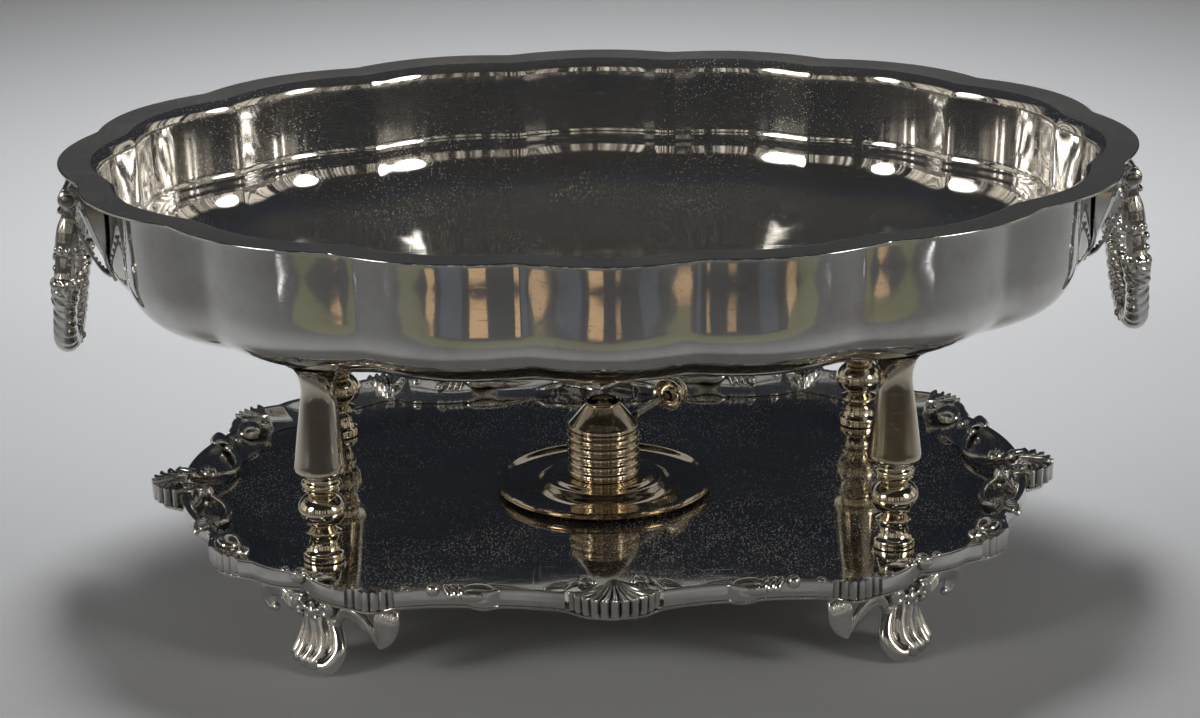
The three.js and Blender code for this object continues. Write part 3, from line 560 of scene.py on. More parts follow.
# Camera, floor and light
def make_camera():
    """The photograph's camera, which looks down on the object and leans a little to one side."""
    pitch, around, roll = (math.radians(value) for value in (CAMERA_PITCH, CAMERA_AROUND, CAMERA_ROLL))
    back_x, back_y = CAMERA_AIM_X, -CAMERA_DISTANCE * math.cos(pitch)
    place = Vector((
        back_x * math.cos(around) + back_y * math.sin(around),
        -back_x * math.sin(around) + back_y * math.cos(around),
        CAMERA_AIM_HEIGHT + CAMERA_DISTANCE * math.sin(pitch),
    )) * MM
    ahead = Vector((
        math.cos(pitch) * math.sin(around),
        math.cos(pitch) * math.cos(around),
        -math.sin(pitch),
    ))
    level = Vector((math.cos(around), -math.sin(around), 0))
    above = level.cross(ahead)
    right = level * math.cos(roll) - above * math.sin(roll)
    up = level * math.sin(roll) + above * math.cos(roll)
    data = bpy.data.cameras.new("camera")
    data.sensor_fit = "HORIZONTAL"
    data.sensor_width = SENSOR_WIDTH
    data.lens = FOCAL_PIXELS * SENSOR_WIDTH / PHOTO_WIDTH
    camera = new_object("camera", data)
    matrix = Matrix((right, up, -ahead)).transposed().to_4x4()
    matrix.translation = place
    camera.matrix_world = matrix
    bpy.context.scene.camera = camera


def aim_lamp(lamp, place, aim):
    lamp.location = place
    lamp.rotation_euler = (Vector(aim) - Vector(place)).to_track_quat("-Z", "Y").to_euler()


def softbox(name, place, aim, size, strength, colour, spread=180, shape="RECTANGLE"):
    """A box of light. strength is the brightness of its face straight on, at which 1 is white."""
    data = bpy.data.lights.new(name, "AREA")
    data.shape = shape
    data.size, data.size_y = size
    half = math.radians(0.5 * spread)
    # A grid of slats narrows the beam, and the same power would otherwise make it brighter
    gathered = 1.0 if spread >= 180 else math.tan(half) / (math.tan(half) - half)
    face = size[0] * size[1] * (0.25 * math.pi if shape == "ELLIPSE" else 1.0)
    data.energy = math.pi * face * strength / gathered
    data.color = linear(colour)[:3]
    data.spread = math.radians(spread)
    lamp = new_object(name, data)
    aim_lamp(lamp, place, aim)
    lamp.visible_camera = False


def make_floor():
    deselect()
    bpy.ops.mesh.primitive_plane_add(size=40, location=(0, 0, 0))
    floor = bpy.context.object
    floor.name = "pale_floor"
    material, _, shader = new_material("pale_studio_floor")
    shader.inputs["Base Color"].default_value = linear("bfc2c8")
    shader.inputs["Roughness"].default_value = 0.9
    shader.inputs["Specular IOR Level"].default_value = 0.1
    paint(floor, material)


def make_room():
    """A dim room with upright pale streaks round it, such as windows and screens give."""
    world = bpy.data.worlds.new("dim_room")
    bpy.context.scene.world = world
    world.use_nodes = True
    tree = world.node_tree
    background = tree.nodes["Background"]
    way = add_node(tree, "TexCoord", "Generated")
    x, y, z = (add_node(tree, "SeparateXYZ", axis, {0: way}) for axis in "XYZ")
    around = add_node(tree, "Math", 0, {0: y, 1: x}, operation="ARCTAN2")
    # A noise round the room, of which the peaks are lit. More of it is lit at the sides
    aside = add_node(tree, "Math", 0, {0: x}, operation="ABSOLUTE")
    crowd = add_node(
        tree, "MapRange", "Result",
        {"Value": aside, "From Min": 0.1, "From Max": 0.8, "To Min": 0.03, "To Max": 0.085},
    )
    wide, narrow = (
        add_node(
            tree, "TexNoise", "Fac", {"W": around, "Scale": scale, "Detail": 1.0}, noise_dimensions="1D"
        )
        for scale in (7.0, 34.0)
    )
    both = add_node(tree, "Math", 0, {0: wide, 1: narrow}, operation="ADD")
    both = add_node(tree, "Math", 0, {0: both, 1: 0.5, 2: crowd}, operation="MULTIPLY_ADD")
    lit = add_node(tree, "MapRange", "Result", {"Value": both, "From Min": 0.575, "From Max": 0.605})
    # Streaks leave out what the level plate mirrors, straight behind and low
    beside = add_node(tree, "MapRange", "Result", {"Value": y, "From Min": 0.74, "From Max": 0.58})
    lit = add_node(tree, "Math", 0, {0: lit, 1: beside}, operation="MULTIPLY")
    # They fade between 24 and 31 degrees above the floor
    low = add_node(
        tree, "MapRange", "Result", {"Value": z, "From Min": 0.52, "From Max": 0.4},
        interpolation_type="SMOOTHSTEP",
    )
    lit = add_node(tree, "Math", 0, {0: lit, 1: low}, operation="MULTIPLY")
    # The room is dark blue behind and a little lighter and browner in front
    front = add_node(tree, "MapRange", "Result", {"Value": y, "From Min": 0.2, "From Max": -0.6})
    ground = add_node(
        tree, "Mix", 2, {0: front, 6: linear("20242c"), 7: linear("2a2826")}, data_type="RGBA"
    )
    streak = (*(1.05 * part for part in linear("f6ecd8")[:3]), 1.0)
    shown = add_node(tree, "Mix", 2, {0: lit, 6: ground, 7: streak}, data_type="RGBA")
    tree.links.new(shown, background.inputs["Color"])
    background.inputs["Strength"].default_value = 1.0
    bpy.context.scene.view_settings.view_transform = "Standard"


def floor_light():
    """A soft pool of light on the floor, from high up behind the object, that fades out a metre away."""
    data = bpy.data.lights.new("floor_light", "SPOT")
    data.energy = 330
    data.color = linear("fffdf8")[:3]
    data.shadow_soft_size = 0.45
    data.spot_size = math.radians(43)
    data.spot_blend = 1.0
    lamp = new_object("floor_light", data)
    aim_lamp(lamp, (0, 0.85, 2.6), (0, 0.55, 0))
    lamp.visible_glossy = False


def make_studio():
    make_floor()
    make_room()
    floor_light()
    # Two tall boxes give each lobe of the basin its highlight
    for side, x in (("left", -1.6), ("right", 1.6)):
        place, aim = (x, -0.95, 1.1), (0, 0.2, 0.24)
        softbox(f"tall_{side}", place, aim, (0.75, 1.2), 14.0, "fffaf2", 33, "ELLIPSE")
    # Dim cards that lie face up before the object, which its outside picks up as patches
    for name, x, y, width, depth, strength, colour in (
        ("tan_card", -0.07, -0.57, 0.07, 0.065, 0.85, "cfa777"),
        ("tan_card_narrow", 0.05, -0.57, 0.028, 0.05, 0.5, "cfa777"),
        ("tan_card_left", -0.3, -0.53, 0.05, 0.06, 0.7, "cfa777"),
        ("tan_card_right", 0.33, -0.53, 0.06, 0.06, 0.7, "cfa777"),
        ("blue_card_left", -0.19, -0.58, 0.1, 0.12, 0.14, "8794ad"),
        ("blue_card_right", 0.2, -0.58, 0.08, 0.12, 0.12, "8794ad"),
        ("blue_card_far_left", -0.66, -0.42, 0.14, 0.2, 0.26, "8794ad"),
        ("blue_card_far_right", 0.66, -0.42, 0.14, 0.2, 0.26, "8794ad"),
        ("pale_slit_left", -0.52, -0.46, 0.014, 0.16, 1.6, "f2f2f4"),
        ("pale_slit_right", 0.52, -0.46, 0.014, 0.16, 1.6, "f2f2f4"),
        ("olive_card", 0.0, -0.45, 0.9, 0.09, 0.2, "a2a046"),
    ):
        softbox(name, (x, y, 0.002), (x, y, 1), (width, depth), strength, colour)


# Basin
def lobe_stations():
    """Angle of each point round the basin and its share along its lobe, closer together at the folds."""
    half = list(CUSP_ANGLES) + [180 - angle for angle in reversed(CUSP_ANGLES)]
    cusps = [math.radians(angle) for angle in half + [angle + 180 for angle in half]]
    stations = []
    for index, start in enumerate(cusps):
        end = cusps[(index + 1) % len(cusps)]
        end += 2 * math.pi if end < start else 0
        for step in range(LOBE_STEPS):
            share = 0.5 - 0.5 * math.cos(math.pi * step / LOBE_STEPS)
            stations.append((start + share * (end - start), share))
    return np.array(stations)


STATIONS = lobe_stations()


def lobed_oval(half_length, half_width, squareness, rise, height, soft):
    """A loop of lobes. soft rounds the folds between them, as a share of a lobe's length."""
    c, s = np.cos(STATIONS[:, 0]), np.sin(STATIONS[:, 0])
    reach = (np.abs(c) ** squareness + np.abs(s) ** squareness) ** (-1 / squareness)
    normal = np.column_stack([c / half_length, s / half_width])
    normal /= np.linalg.norm(normal, axis=1)[:, None]
    fold = np.minimum(STATIONS[:, 1], 1 - STATIONS[:, 1])
    fold = np.sqrt(fold**2 + soft**2) - 0.6 * soft
    out = (rise * 4 * fold * (1 - fold))[:, None]
    plan = np.column_stack([half_length * c * reach, half_width * s * reach]) + normal * out
    return np.column_stack([plan, np.full(len(plan), height)])


def wall_loop(inset, height):
    """A loop of the upright wall or the flange. Its folds are softer farther in."""
    soft = 0.025 + 0.002 * min(inset, 18)
    return lobed_oval(CUSP_HALF_LENGTH - inset, CUSP_HALF_WIDTH - inset, 2, LOBE_RISE, height, soft)


def bowl_loops(thickness, rows=22):
    """From the wall's foot down the curve to the floor's edge."""
    inset = WALL_FOOT_INSET + thickness
    floor_length, floor_width = FLOOR_HALF_LENGTH - thickness, FLOOR_HALF_WIDTH - thickness
    floor, wall_foot = BASIN_BOTTOM + thickness, RIM_HEIGHT - WALL_DEPTH
    loops = []
    for row in range(rows + 1):
        angle = 0.5 * math.pi * (1 - row / rows)
        out = math.sin(angle) ** (2 / BOWL_CURVE)
        up = 1 - max(0.0, math.cos(angle)) ** (2 / BOWL_CURVE)
        loops.append(lobed_oval(
            floor_length + (CUSP_HALF_LENGTH - inset - floor_length) * out,
            floor_width + (CUSP_HALF_WIDTH - inset - floor_width) * out,
            2.6 - 0.6 * out,
            FLOOR_LOBE_RISE + (LOBE_RISE - FLOOR_LOBE_RISE) * out,
            floor + (wall_foot - floor) * up,
            0.065,
        ))
    return loops


def floor_loops(thickness):
    """Rings of the flat floor from its edge to near the middle."""
    edge = bowl_loops(thickness, 1)[-1]
    middle = np.array([0, 0, BASIN_BOTTOM + thickness])
    return [middle + (edge - middle) * share for share in (0.97, 0.9, 0.75, 0.5, 0.25, 0.08)]


def rolled(start, radius, height, steps=8):
    """Insets and heights of the roll from the flange down into the wall, from its top."""
    turns = np.linspace(0, 0.5 * math.pi, steps + 1)
    return [(start + radius * math.sin(turn), height - radius * (1 - math.cos(turn))) for turn in turns]


def make_basin():
    top, under = RIM_HEIGHT, RIM_HEIGHT - BASIN_THICKNESS
    foot = RIM_HEIGHT - WALL_DEPTH
    outside = [
        *reversed(floor_loops(0)),
        *reversed(bowl_loops(0)),
        *(wall_loop(WALL_FOOT_INSET - 1.4 * share, foot + 29.5 * share) for share in (0.1, 0.4, 0.7, 1.0)),
        *(wall_loop(*place) for place in reversed(rolled(FLANGE_END, OUTER_ROLL, under))),
        *(wall_loop(inset, under) for inset in (8, 0.5)),
        wall_loop(0.1, under + 0.3),
        wall_loop(0, under + 0.7),
        wall_loop(0.1, top - 0.25),
        wall_loop(0.5, top),
    ]
    flange = [wall_loop(inset, top) for inset in (1.2, 3, 6, 9)]
    inside = [
        *(wall_loop(*place) for place in rolled(FLANGE_END, INNER_ROLL, top)),
        *(
            wall_loop(FLANGE_END + INNER_ROLL + 1.5 * share, top - INNER_ROLL - 29.6 * share)
            for share in (0.2, 0.6, 0.94)
        ),
        # A line is struck in the sheet where the wall meets the bowl
        *(wall_loop(inset, foot + rise) for inset, rise in ((20.85, 0.6), (21.2, 0.1), (21.45, -0.5))),
        *bowl_loops(BASIN_THICKNESS + 0.4)[1:],
        *floor_loops(BASIN_THICKNESS + 0.4),
    ]
    basin = skin("lobed_basin", outside + flange + inside)
    paint(basin, BRIGHT_PLATE, SATIN_PLATE, WORN_PLATE)
    bright, satin, worn = range(3)
    for face in basin.data.polygons:
        middle = face.center / MM
        rises = face.normal.z
        if abs(rises) > 0.9 and middle.z > RIM_HEIGHT - 2.5:
            face.material_index = satin if rises > 0 else bright
        elif middle.z > BASIN_BOTTOM + 0.6:
            inner = rises > 0.05 or face.normal.x * middle.x + face.normal.y * middle.y < 0
            face.material_index = worn if inner else bright
    smooth(basin, 60)
    ride(basin, "basin", "silver_plate", "basin")


# Salver
def oval_normal(point):
    x = (point[0] / TRAY_HALF_LENGTH) ** 3 / TRAY_HALF_LENGTH
    y = (point[1] / TRAY_HALF_WIDTH) ** 3 / TRAY_HALF_WIDTH
    return np.array([x, y]) / math.hypot(x, y)


def quarter_outline(step=BORDER_STEP):
    """Outline of the border's quarter at positive x and y, and the length along it."""
    corners = [np.array([x * TRAY_HALF_LENGTH, y * TRAY_HALF_WIDTH]) for x, y, _ in BORDER_RUNS]
    points = [corners[0]]
    for run in range(1, len(corners)):
        start, end = corners[run - 1], corners[run]
        chord = end - start
        outward = np.array([chord[1], -chord[0]]) / np.linalg.norm(chord)
        outward *= 1 if outward @ start > 0 else -1
        count = max(2, round(np.linalg.norm(chord) / step))
        for index in range(1, count + 1):
            share = index / count
            points.append(start + chord * share + outward * 4 * share * (1 - share) * BORDER_RUNS[run][2])
    points = np.array(points)
    return points, travelled(points)


# Middle of each fan on the border, its half width along the edge and its flutes
BORDER_FANS = (((107.0, 151.0), 12.0, 6), ((177.0, 98.0), 11.0, 5))
FAN_DEPTH = 17.0


def plain_top(inset):
    """Height of the moulding's top: a narrow bead, a flat and a hollow sweep down to the field."""
    if inset < 1.4:
        return BORDER_TOP - 0.6 * (1 - inset / 1.4) ** 2
    if inset < 3.2:
        return BORDER_TOP - 0.3 * (inset - 1.4)
    fall = (inset - 3.2) / (BORDER_WIDTH - 3.2)
    return BORDER_BOTTOM + (BORDER_TOP - 0.54 - BORDER_BOTTOM) * (1 - fall) ** 2.1


def lobes(share):
    """Rounded flutes with sharp valleys: share counts the flutes."""
    return np.abs(np.sin(math.pi * share)) ** 0.85


def work_fan(inset, height, on_top, away, half, flutes):
    """A section of the border, away from a fan's middle, with its part of the fan worked on it."""
    turn = np.arctan2(away, np.clip(FAN_DEPTH - inset, 0.5, None)) / math.atan2(half, FAN_DEPTH)
    inside = np.clip((1.06 - np.abs(turn)) / 0.1, 0, 1)
    fade = np.clip((FAN_DEPTH - inset) / 5, 0, 1) * inside
    ridge = lobes(0.5 * flutes * (turn + 1))
    edge = lobes(0.5 * flutes * (away / half + 1))
    strength = np.clip((1.06 - abs(away) / half) / 0.1, 0, 1)
    inset = inset + 1.7 * (1 - edge) * strength * np.clip(1 - inset / 6, 0, 1)
    raised = BORDER_TOP + 0.9 - 0.22 * inset + 1.5 * (ridge - 0.6)
    return inset, np.where(on_top, np.maximum(height, height + (raised - height) * fade), height)


def make_border():
    points, length = quarter_outline()
    normals = np.array([oval_normal(point) for point in points])
    fans = []
    for middle, half, flutes in BORDER_FANS:
        nearest = int(np.argmin(np.linalg.norm(points - np.array(middle), axis=1)))
        fans.append((length[nearest], half, flutes))
    side = [(0.9, BORDER_BOTTOM), (0.25, BORDER_BOTTOM + 0.35), (0, BORDER_BOTTOM + 1.2)]
    side += [(0, BORDER_BOTTOM + 3), (0, BORDER_TOP - 2.4), (0, BORDER_TOP - 1.2)]
    top = [0.12, 0.35, 0.7, 1.05, 1.4, 1.9, 2.5, 3.2, *np.arange(3.8, BORDER_WIDTH, 0.65), BORDER_WIDTH]
    ring = np.array([(BORDER_WIDTH, BORDER_BOTTOM), *side, *((inset, plain_top(inset)) for inset in top)])
    on_top = np.arange(len(ring)) >= len(side) - 2
    loops = []
    for point, normal, at in zip(points, normals, length):
        inset, height = ring.T
        for middle, half, flutes in fans:
            if abs(at - middle) <= 1.25 * half:
                inset, height = work_fan(inset, height, on_top, at - middle, half, flutes)
        loops.append(np.column_stack([point - normal * inset[:, None], height]))
    quarter = skin("border_quarter", loops)
    casting = Casting()
    border_ornament(casting)
    smooth(quarter, 40)
    join(quarter, casting.piece("border_ornament", 0.42))
    for corner, x, y in CORNERS:
        piece = copy_placed(quarter, f"border_run_{corner}", Matrix.Diagonal((x, y, 1, 1)))
        paint(piece, CAST_PLATE)
        ride(piece, "stand", "cast_silver", f"border_{corner}")
    bpy.data.objects.remove(quarter)


def volute(casting, x, y, z, size, hand, start):
    """A boss with a spiral ridge on it."""
    casting.ball((x, y, z), size, (1, 1, 0.8), 0, 20)
    casting.scroll(
        (x, y, z + 0.42 * size), (1, 0, 0), (0, 1, 0), (0.92 * size, 0.2 * size), 1.4 * hand, start,
        (0.24 * size, 0.16 * size), 0.4 * size,
    )


def leaf(casting, points, blades, spread):
    """Ridges side by side along a path of (x, y, z, radius), which together make a leaf."""
    path = np.array(points, float)
    along = np.gradient(path[:, :2], axis=0)
    across = np.column_stack([-along[:, 1], along[:, 0]]) / np.linalg.norm(along, axis=1)[:, None]
    for blade in range(blades):
        shift = (blade - 0.5 * (blades - 1)) * spread
        moved = path.copy()
        moved[:, :2] += across * shift * (path[:, 3:] / path[:, 3].max())
        moved[:, 2] -= 0.1 * shift**2
        casting.bar(moved.tolist(), 26, 10)


def border_ornament(casting):
    """Pods, claws, bosses and short palms that are soldered along one quarter of the border."""
    top = BORDER_TOP
    # Pod with a tail towards the long side's shell, claws over the edge and a pearl
    casting.ball((60.0, 144.6, top - 2.4), 1.0, (8.8, 6.4, 4.2), -0.05, 32)
    casting.bar([
        (56, 142.4, top - 2.0, 3.2), (48, 141.8, top - 2.8, 2.8), (38, 143.5, top - 3.6, 2.0),
        (28, 146.5, top - 3.4, 0.9),
    ], 34, 16)
    for x in (67.6, 70.7, 73.8):
        casting.bar([
            (x + 2.8, 136.8, top - 5.0, 0.9), (x + 1.2, 140.4, top - 1.2, 1.6),
            (x - 0.4, 145.0, top + 0.2, 1.9), (x - 1.8, 148.6, top - 1.6, 1.6),
            (x - 2.2, 149.2, top - 4.4, 1.1),
        ], 30, 12)
    casting.ball((79.2, 143.8, top - 0.9), 3.3, sides=24)
    casting.ball((79.8, 138.0, top - 2.9), 2.2)
    # Bosses at each side of the fan
    volute(casting, 91.6, 143.4, top - 1.8, 2.9, 1, 0.5)
    volute(casting, 122.2, 139.0, top - 1.8, 2.9, -1, 2.6)
    # Boss, pearls and a low leaf in the notch above the foot
    volute(casting, 138.6, 121.6, top - 1.7, 4.2, 1, -0.6)
    casting.ball((132.0, 128.4, top - 1.0), 2.5)
    casting.ball((145.4, 116.6, top - 1.0), 2.3)
    leaf(casting, [
        (136.0, 121.5, top - 2.2, 1.7), (131.5, 117.4, top - 3.6, 2.0), (127.0, 113.4, top - 5.4, 1.4),
        (124.0, 110.0, top - 6.6, 0.6),
    ], 3, 1.9)
    # Egg between two small scrolls past the second fan
    casting.ball((173.6, 76.0, top - 2.8), 1.0, (6.2, 8.0, 4.6), 0.3, 36)
    volute(casting, 166.0, 85.6, top - 3.6, 2.9, 1, 2.4)
    casting.bar([
        (181.4, 82.6, top - 1.6, 1.0), (181.0, 76.0, top - 1.0, 1.3), (182.4, 69.4, top - 1.4, 1.0),
    ], 20, 10)
    # Short palm in the notch next to the end's dished lobe
    for index in range(5):
        side = index - 2
        casting.bar([
            (180.4, 57.4 + 0.9 * side, top - 3.8, 0.8), (184.4, 58.2 + 1.7 * side, top - 0.8, 1.4),
            (188.4 - 0.25 * side**2, 58.8 + 2.7 * side, top - 0.3, 1.6),
            (190.6 - 0.3 * side**2, 59.2 + 3.1 * side, top - 2.2, 1.3),
        ], 24, 12)
    casting.ball((181.4, 50.6, top - 2.6), 2.4)
    casting.ball((178.0, 63.6, top - 3.2), 2.2)
    # Spine of the dished lobe, and the boss in its bend beside the end shell
    casting.bar([
        (180.0, 48.6, top - 3.6, 1.3), (176.6, 40.0, top - 5.0, 1.7), (176.4, 30.0, top - 5.2, 1.8),
        (179.6, 20.6, top - 4.2, 1.7), (184.6, 14.6, top - 2.8, 1.4),
    ], 44, 14)
    volute(casting, 188.2, 12.4, top - 1.4, 4.2, 1, -0.9)


def shell_ring(t, reach, radius, spread, flutes):
    """The shell's section at t from -1 to 1 of its spread, from the hinge over the edge to below."""
    hinge = reach - radius
    ridge = lobes(0.5 * flutes * (t + 1))
    fine = lobes(flutes * (t + 1) + 0.25)
    ring = []
    for share in np.linspace(0.12, 1, 26):
        angle = math.radians(spread) * t * (0.4 + 0.6 * share**1.4)
        out = radius * share - 2.2 * (1 - ridge) * share**7 - 0.07 * radius * t * t * share
        height = BORDER_TOP + 2.5 * (1 - share**1.6) - 0.3 + 0.9 * share**6
        height += 1.5 * (ridge - 0.6) * share**0.7 + 0.45 * (fine - 0.6) * share**0.5
        ring.append((out * math.sin(angle), hinge + out * math.cos(angle), height))
    x, y, z = ring[-1]
    for grown, height in (
        (1.012, z - 0.5), (1.006, z - 1.4), (0.994, z - 3.0), (0.99, BORDER_BOTTOM + 1.6),
        (0.97, BORDER_BOTTOM + 0.3), (0.93, BORDER_BOTTOM), (0.12, BORDER_BOTTOM),
    ):
        ring.append((x * grown, hinge + (y - hinge) * grown, height))
    return np.array(ring)


def make_shell(name, reach, radius, spread, flutes, turn, node):
    """A palm of ribs that splay to a scalloped edge, with a boss, an arm and a leaf at each flank."""
    hinge = reach - radius
    count = flutes * 14
    palm = skin(name, [
        shell_ring(2 * step / count - 1, reach, radius, spread, flutes) for step in range(count + 1)
    ])
    smooth(palm, 50)
    ornament = Casting()
    size = 0.155 * radius
    top = BORDER_TOP
    for flank in (-1, 1):
        x, y = flank * 0.47 * radius, hinge + 0.02 * radius
        volute(ornament, x, y, top - 0.6, size, flank, 0.5 * math.pi - 0.7 * flank)
        ornament.ball((x - flank * 0.9 * size, y + 1.1 * size, top + 1.2), 0.4 * size)
        ornament.bar([
            (x - flank * 0.4 * size, y - size, top - 1.8, 1.5),
            (x + flank * 1.1 * size, y - 0.5 * size, top - 1.2, 1.7),
            (x + flank * 1.9 * size, y + 0.9 * size, top - 0.2, 1.5),
            (x + flank * 2.5 * size, y + 2.4 * size, top - 0.1, 1.0),
        ], 30, 12)
        leaf(ornament, [
            (x + flank * 1.4 * size, y - 1.2 * size, top - 2.4, 1.3),
            (x + flank * 3.0 * size, y - 1.6 * size, top - 3.4, 1.7),
            (x + flank * 4.6 * size, y - 1.2 * size, top - 4.6, 0.8),
        ], 2, 1.7)
    join(palm, ornament.piece(name + "_scrolls", 0.42))
    palm.data.transform(Matrix.Rotation(turn, 4, "Z"))
    paint(palm, CAST_PLATE)
    ride(palm, "stand", "cast_silver", node)


def make_plate():
    """The flat field, cut to the border's outline."""
    quarter, _ = quarter_outline(4.0)
    inner = [point - oval_normal(point) * PLATE_INSET for point in quarter]
    # Below each shell the field runs out to a blunt tip
    long_tip = np.array([0, WIDE_SHELL["reach"] - 3.2])
    end_tip = np.array([END_SHELL["reach"] - 3.2, 0])
    near_long = (0.6 * inner[0][0], long_tip[1] - 3)
    near_end = (end_tip[0] - 3.5, 0.6 * inner[-1][1])
    right = [long_tip, near_long, *inner, near_end, end_tip]
    lower = [(x, -y) for x, y in reversed(right[:-1])]
    left = [(-x, y) for x, y in reversed(right[1:] + lower[:-1])]
    outline = np.array([tuple(point) for point in right + lower + left])
    low, high = FIELD_HEIGHT - PLATE_THICKNESS, FIELD_HEIGHT
    # Share of the outline and height of each loop: the edge is eased and the top closes in flat rings
    levels = [(0.9975, low), (1.0, low + 0.4), (1.0, high - 0.4), (0.9975, high)]
    levels += [(size, high) for size in (0.9, 0.6, 0.3)]
    plate = skin("salver_field_sheet", [
        np.column_stack([outline * size, np.full(len(outline), level)]) for size, level in levels
    ])
    smooth(plate, 30)
    paint(plate, PITTED_PLATE)
    ride(plate, "stand", "salver_field", "tray_plate")


# Feet, made pointing along +X. The leaf is at -Y and the open scroll at +Y
def foot_leg(casting):
    """A leg of five swelling ribs that sway to the leaf's side and end in knuckles."""
    sections = (
        (0.05, 7.0, 12.0, 4.0), (0.14, 7.6, 12.4, 3.4), (0.28, 6.8, 11.0, 1.6), (0.45, 5.8, 9.6, 0.2),
        (0.62, 5.4, 8.8, -0.6), (0.78, 6.0, 9.2, -0.8), (0.9, 6.4, 10.4, -1.0), (1, 6.4, 11.4, -1.6),
    )
    sections = [(share * FOOT_TOP, depth, width, out) for share, depth, width, out in sections]
    turn = np.linspace(0, 2 * math.pi, 40, endpoint=False)
    casting.add_loops([
        np.column_stack([out + depth * np.cos(turn), width * np.sin(turn), np.full(len(turn), height)])
        for height, depth, width, out in curve_through(sections, 34)
    ])
    # Each rib's points of (out, across), of which the last three have their height too
    ribs = (
        ((-0.6, 7.8), (0.4, 8.6), (1.6, 9.4), (3.6, 10.6, 10.4), (6.0, 11.6, 5.4), (6.2, 11.6, 3.2)),
        ((2.6, 4.8), (4.0, 5.4), (5.0, 5.2), (7.0, 5.8, 10.4), (9.6, 6.8, 5.4), (9.8, 7.0, 3.2)),
        ((4.4, 1.4), (5.6, 1.4), (6.6, -0.4), (8.6, -0.6, 10.4), (11.4, 1.2, 5.6), (11.4, 2.4, 3.4)),
        ((4.0, -2.2), (5.4, -3.4), (7.0, -6.2), (9.2, -6.8, 10.6), (12.0, -4.6, 5.8), (11.8, -2.6, 3.6)),
        ((1.6, -6.0), (2.8, -8.2), (4.2, -12.2), (6.6, -14.2, 10.8), (10.2, -11.4, 5.2), (12.2, -7.0, 4.4)),
    )
    widths = (
        (1.7, 2.2, 2.3, 2.5, 2.7, 2.4), (1.7, 2.2, 2.2, 2.5, 2.8, 2.5), (1.8, 2.2, 2.3, 2.6, 3.0, 2.6),
        (1.8, 2.3, 2.6, 2.9, 3.3, 2.9), (1.9, 2.5, 3.2, 3.8, 4.2, 3.6),
    )
    ribs = [[(*rib[0], 30), (*rib[1], 24), (*rib[2], 17), *rib[3:]] for rib in ribs]
    for rib, width in zip(ribs, widths):
        casting.bar([(*point, size) for point, size in zip(rib, width)], 60, 20)
    # Fine fillets lie in the valleys, and pearls run down the inner edge
    for one, other in zip(ribs, ribs[1:]):
        between = [
            (0.5 * (a[0] + b[0]) + 0.7, 0.5 * (a[1] + b[1]), a[2]) for a, b in zip(one[:4], other[:4])
        ]
        casting.bar([(*point, size) for point, size in zip(between, (0.5, 0.8, 0.8, 0.4))], 40, 10)
    for index in range(6):
        share = index / 5
        place = (2.6 - 0.6 * share, -9.6 - 7.0 * share + 3.4 * share**2, 25.4 - 10.4 * share)
        casting.ball(place, 1.5 - 0.4 * share)


def foot_knot(casting):
    """The knot of volutes and pearls that joins the leg to the salver."""
    casting.ball((6.4, 0.4, 27.4), 2.8, (1, 1.1, 1.1))
    casting.wreath((7.0, 0.4, 27.6), (0, 3.9, 0), (0, 0, 3.7), 5, 0.3, 1.7)
    for flank in (-1, 1):
        casting.ball((4.2, 7.8 * flank, 30.0), 4.0)
        casting.scroll(
            (7.0, 7.8 * flank, 30.0), (0, flank, 0), (0, 0, 1), (4.4, 1.0), -1.5, 2.2, (1.4, 0.9),
            1.3 * flank,
        )
        casting.ball((3.2, 13.2 * flank, 27.6), 3.0, (1, 0.9, 1.2))
        casting.ball((3.6, 10.8 * flank, 23.8), 2.1)
        casting.ball((2.2, 17.0 * flank, 31.8), 3.0)
    casting.bar([(-2, -16, 35.2, 2.2), (-1, 0, 35.0, 2.6), (-2, 16, 35.2, 2.2)], 20, 12)


def foot_leaf(casting):
    """A hollow leaf: an arm bows over from the leg, and a broad petal below the border meets its tip."""
    for shift, thick in ((0.0, 1.0), (2.5, 0.75)):
        casting.bar([
            (3.2, -9.0, 24.4 - shift, 1.7 * thick), (3.6, -12.6, 28.6 - shift, 2.2 * thick),
            (3.4, -17.6, 31.2 - shift, 2.4 * thick),
            (2.8, -23.4 + 0.3 * shift, 30.2 - shift, 2.3 * thick),
            (2.2, -28.4 + 0.6 * shift, 25.6 - 0.6 * shift, 2.1 * thick),
            (1.6, -31.6 + 0.7 * shift, 20.4, 1.7 * thick),
            (1.2, -33.6 + 0.6 * shift, 17.6, 1.3 * thick),
        ], 54, 16)
    for index in range(4):
        casting.bar([
            (0.4, -34.4 - 2.9 * index, 35.0, 1.8), (1.4, -34.2 - 3.1 * index, 31.0, 2.3),
            (1.7, -33.8 - 2.9 * index, 26.4, 2.3), (1.5, -34.8 - 1.7 * index, 21.4, 1.9),
            (1.0, -35.4, 17.0, 1.1),
        ], 40, 14)
    casting.ball((1.0, -34.0, 16.6), 1.6, (1, 1.2, 0.8))
    casting.bar([(1.6, -14, 34.6, 2.4), (0.8, -26, 35.4, 2.4), (-0.6, -40, 35.4, 1.7)], 26, 12)


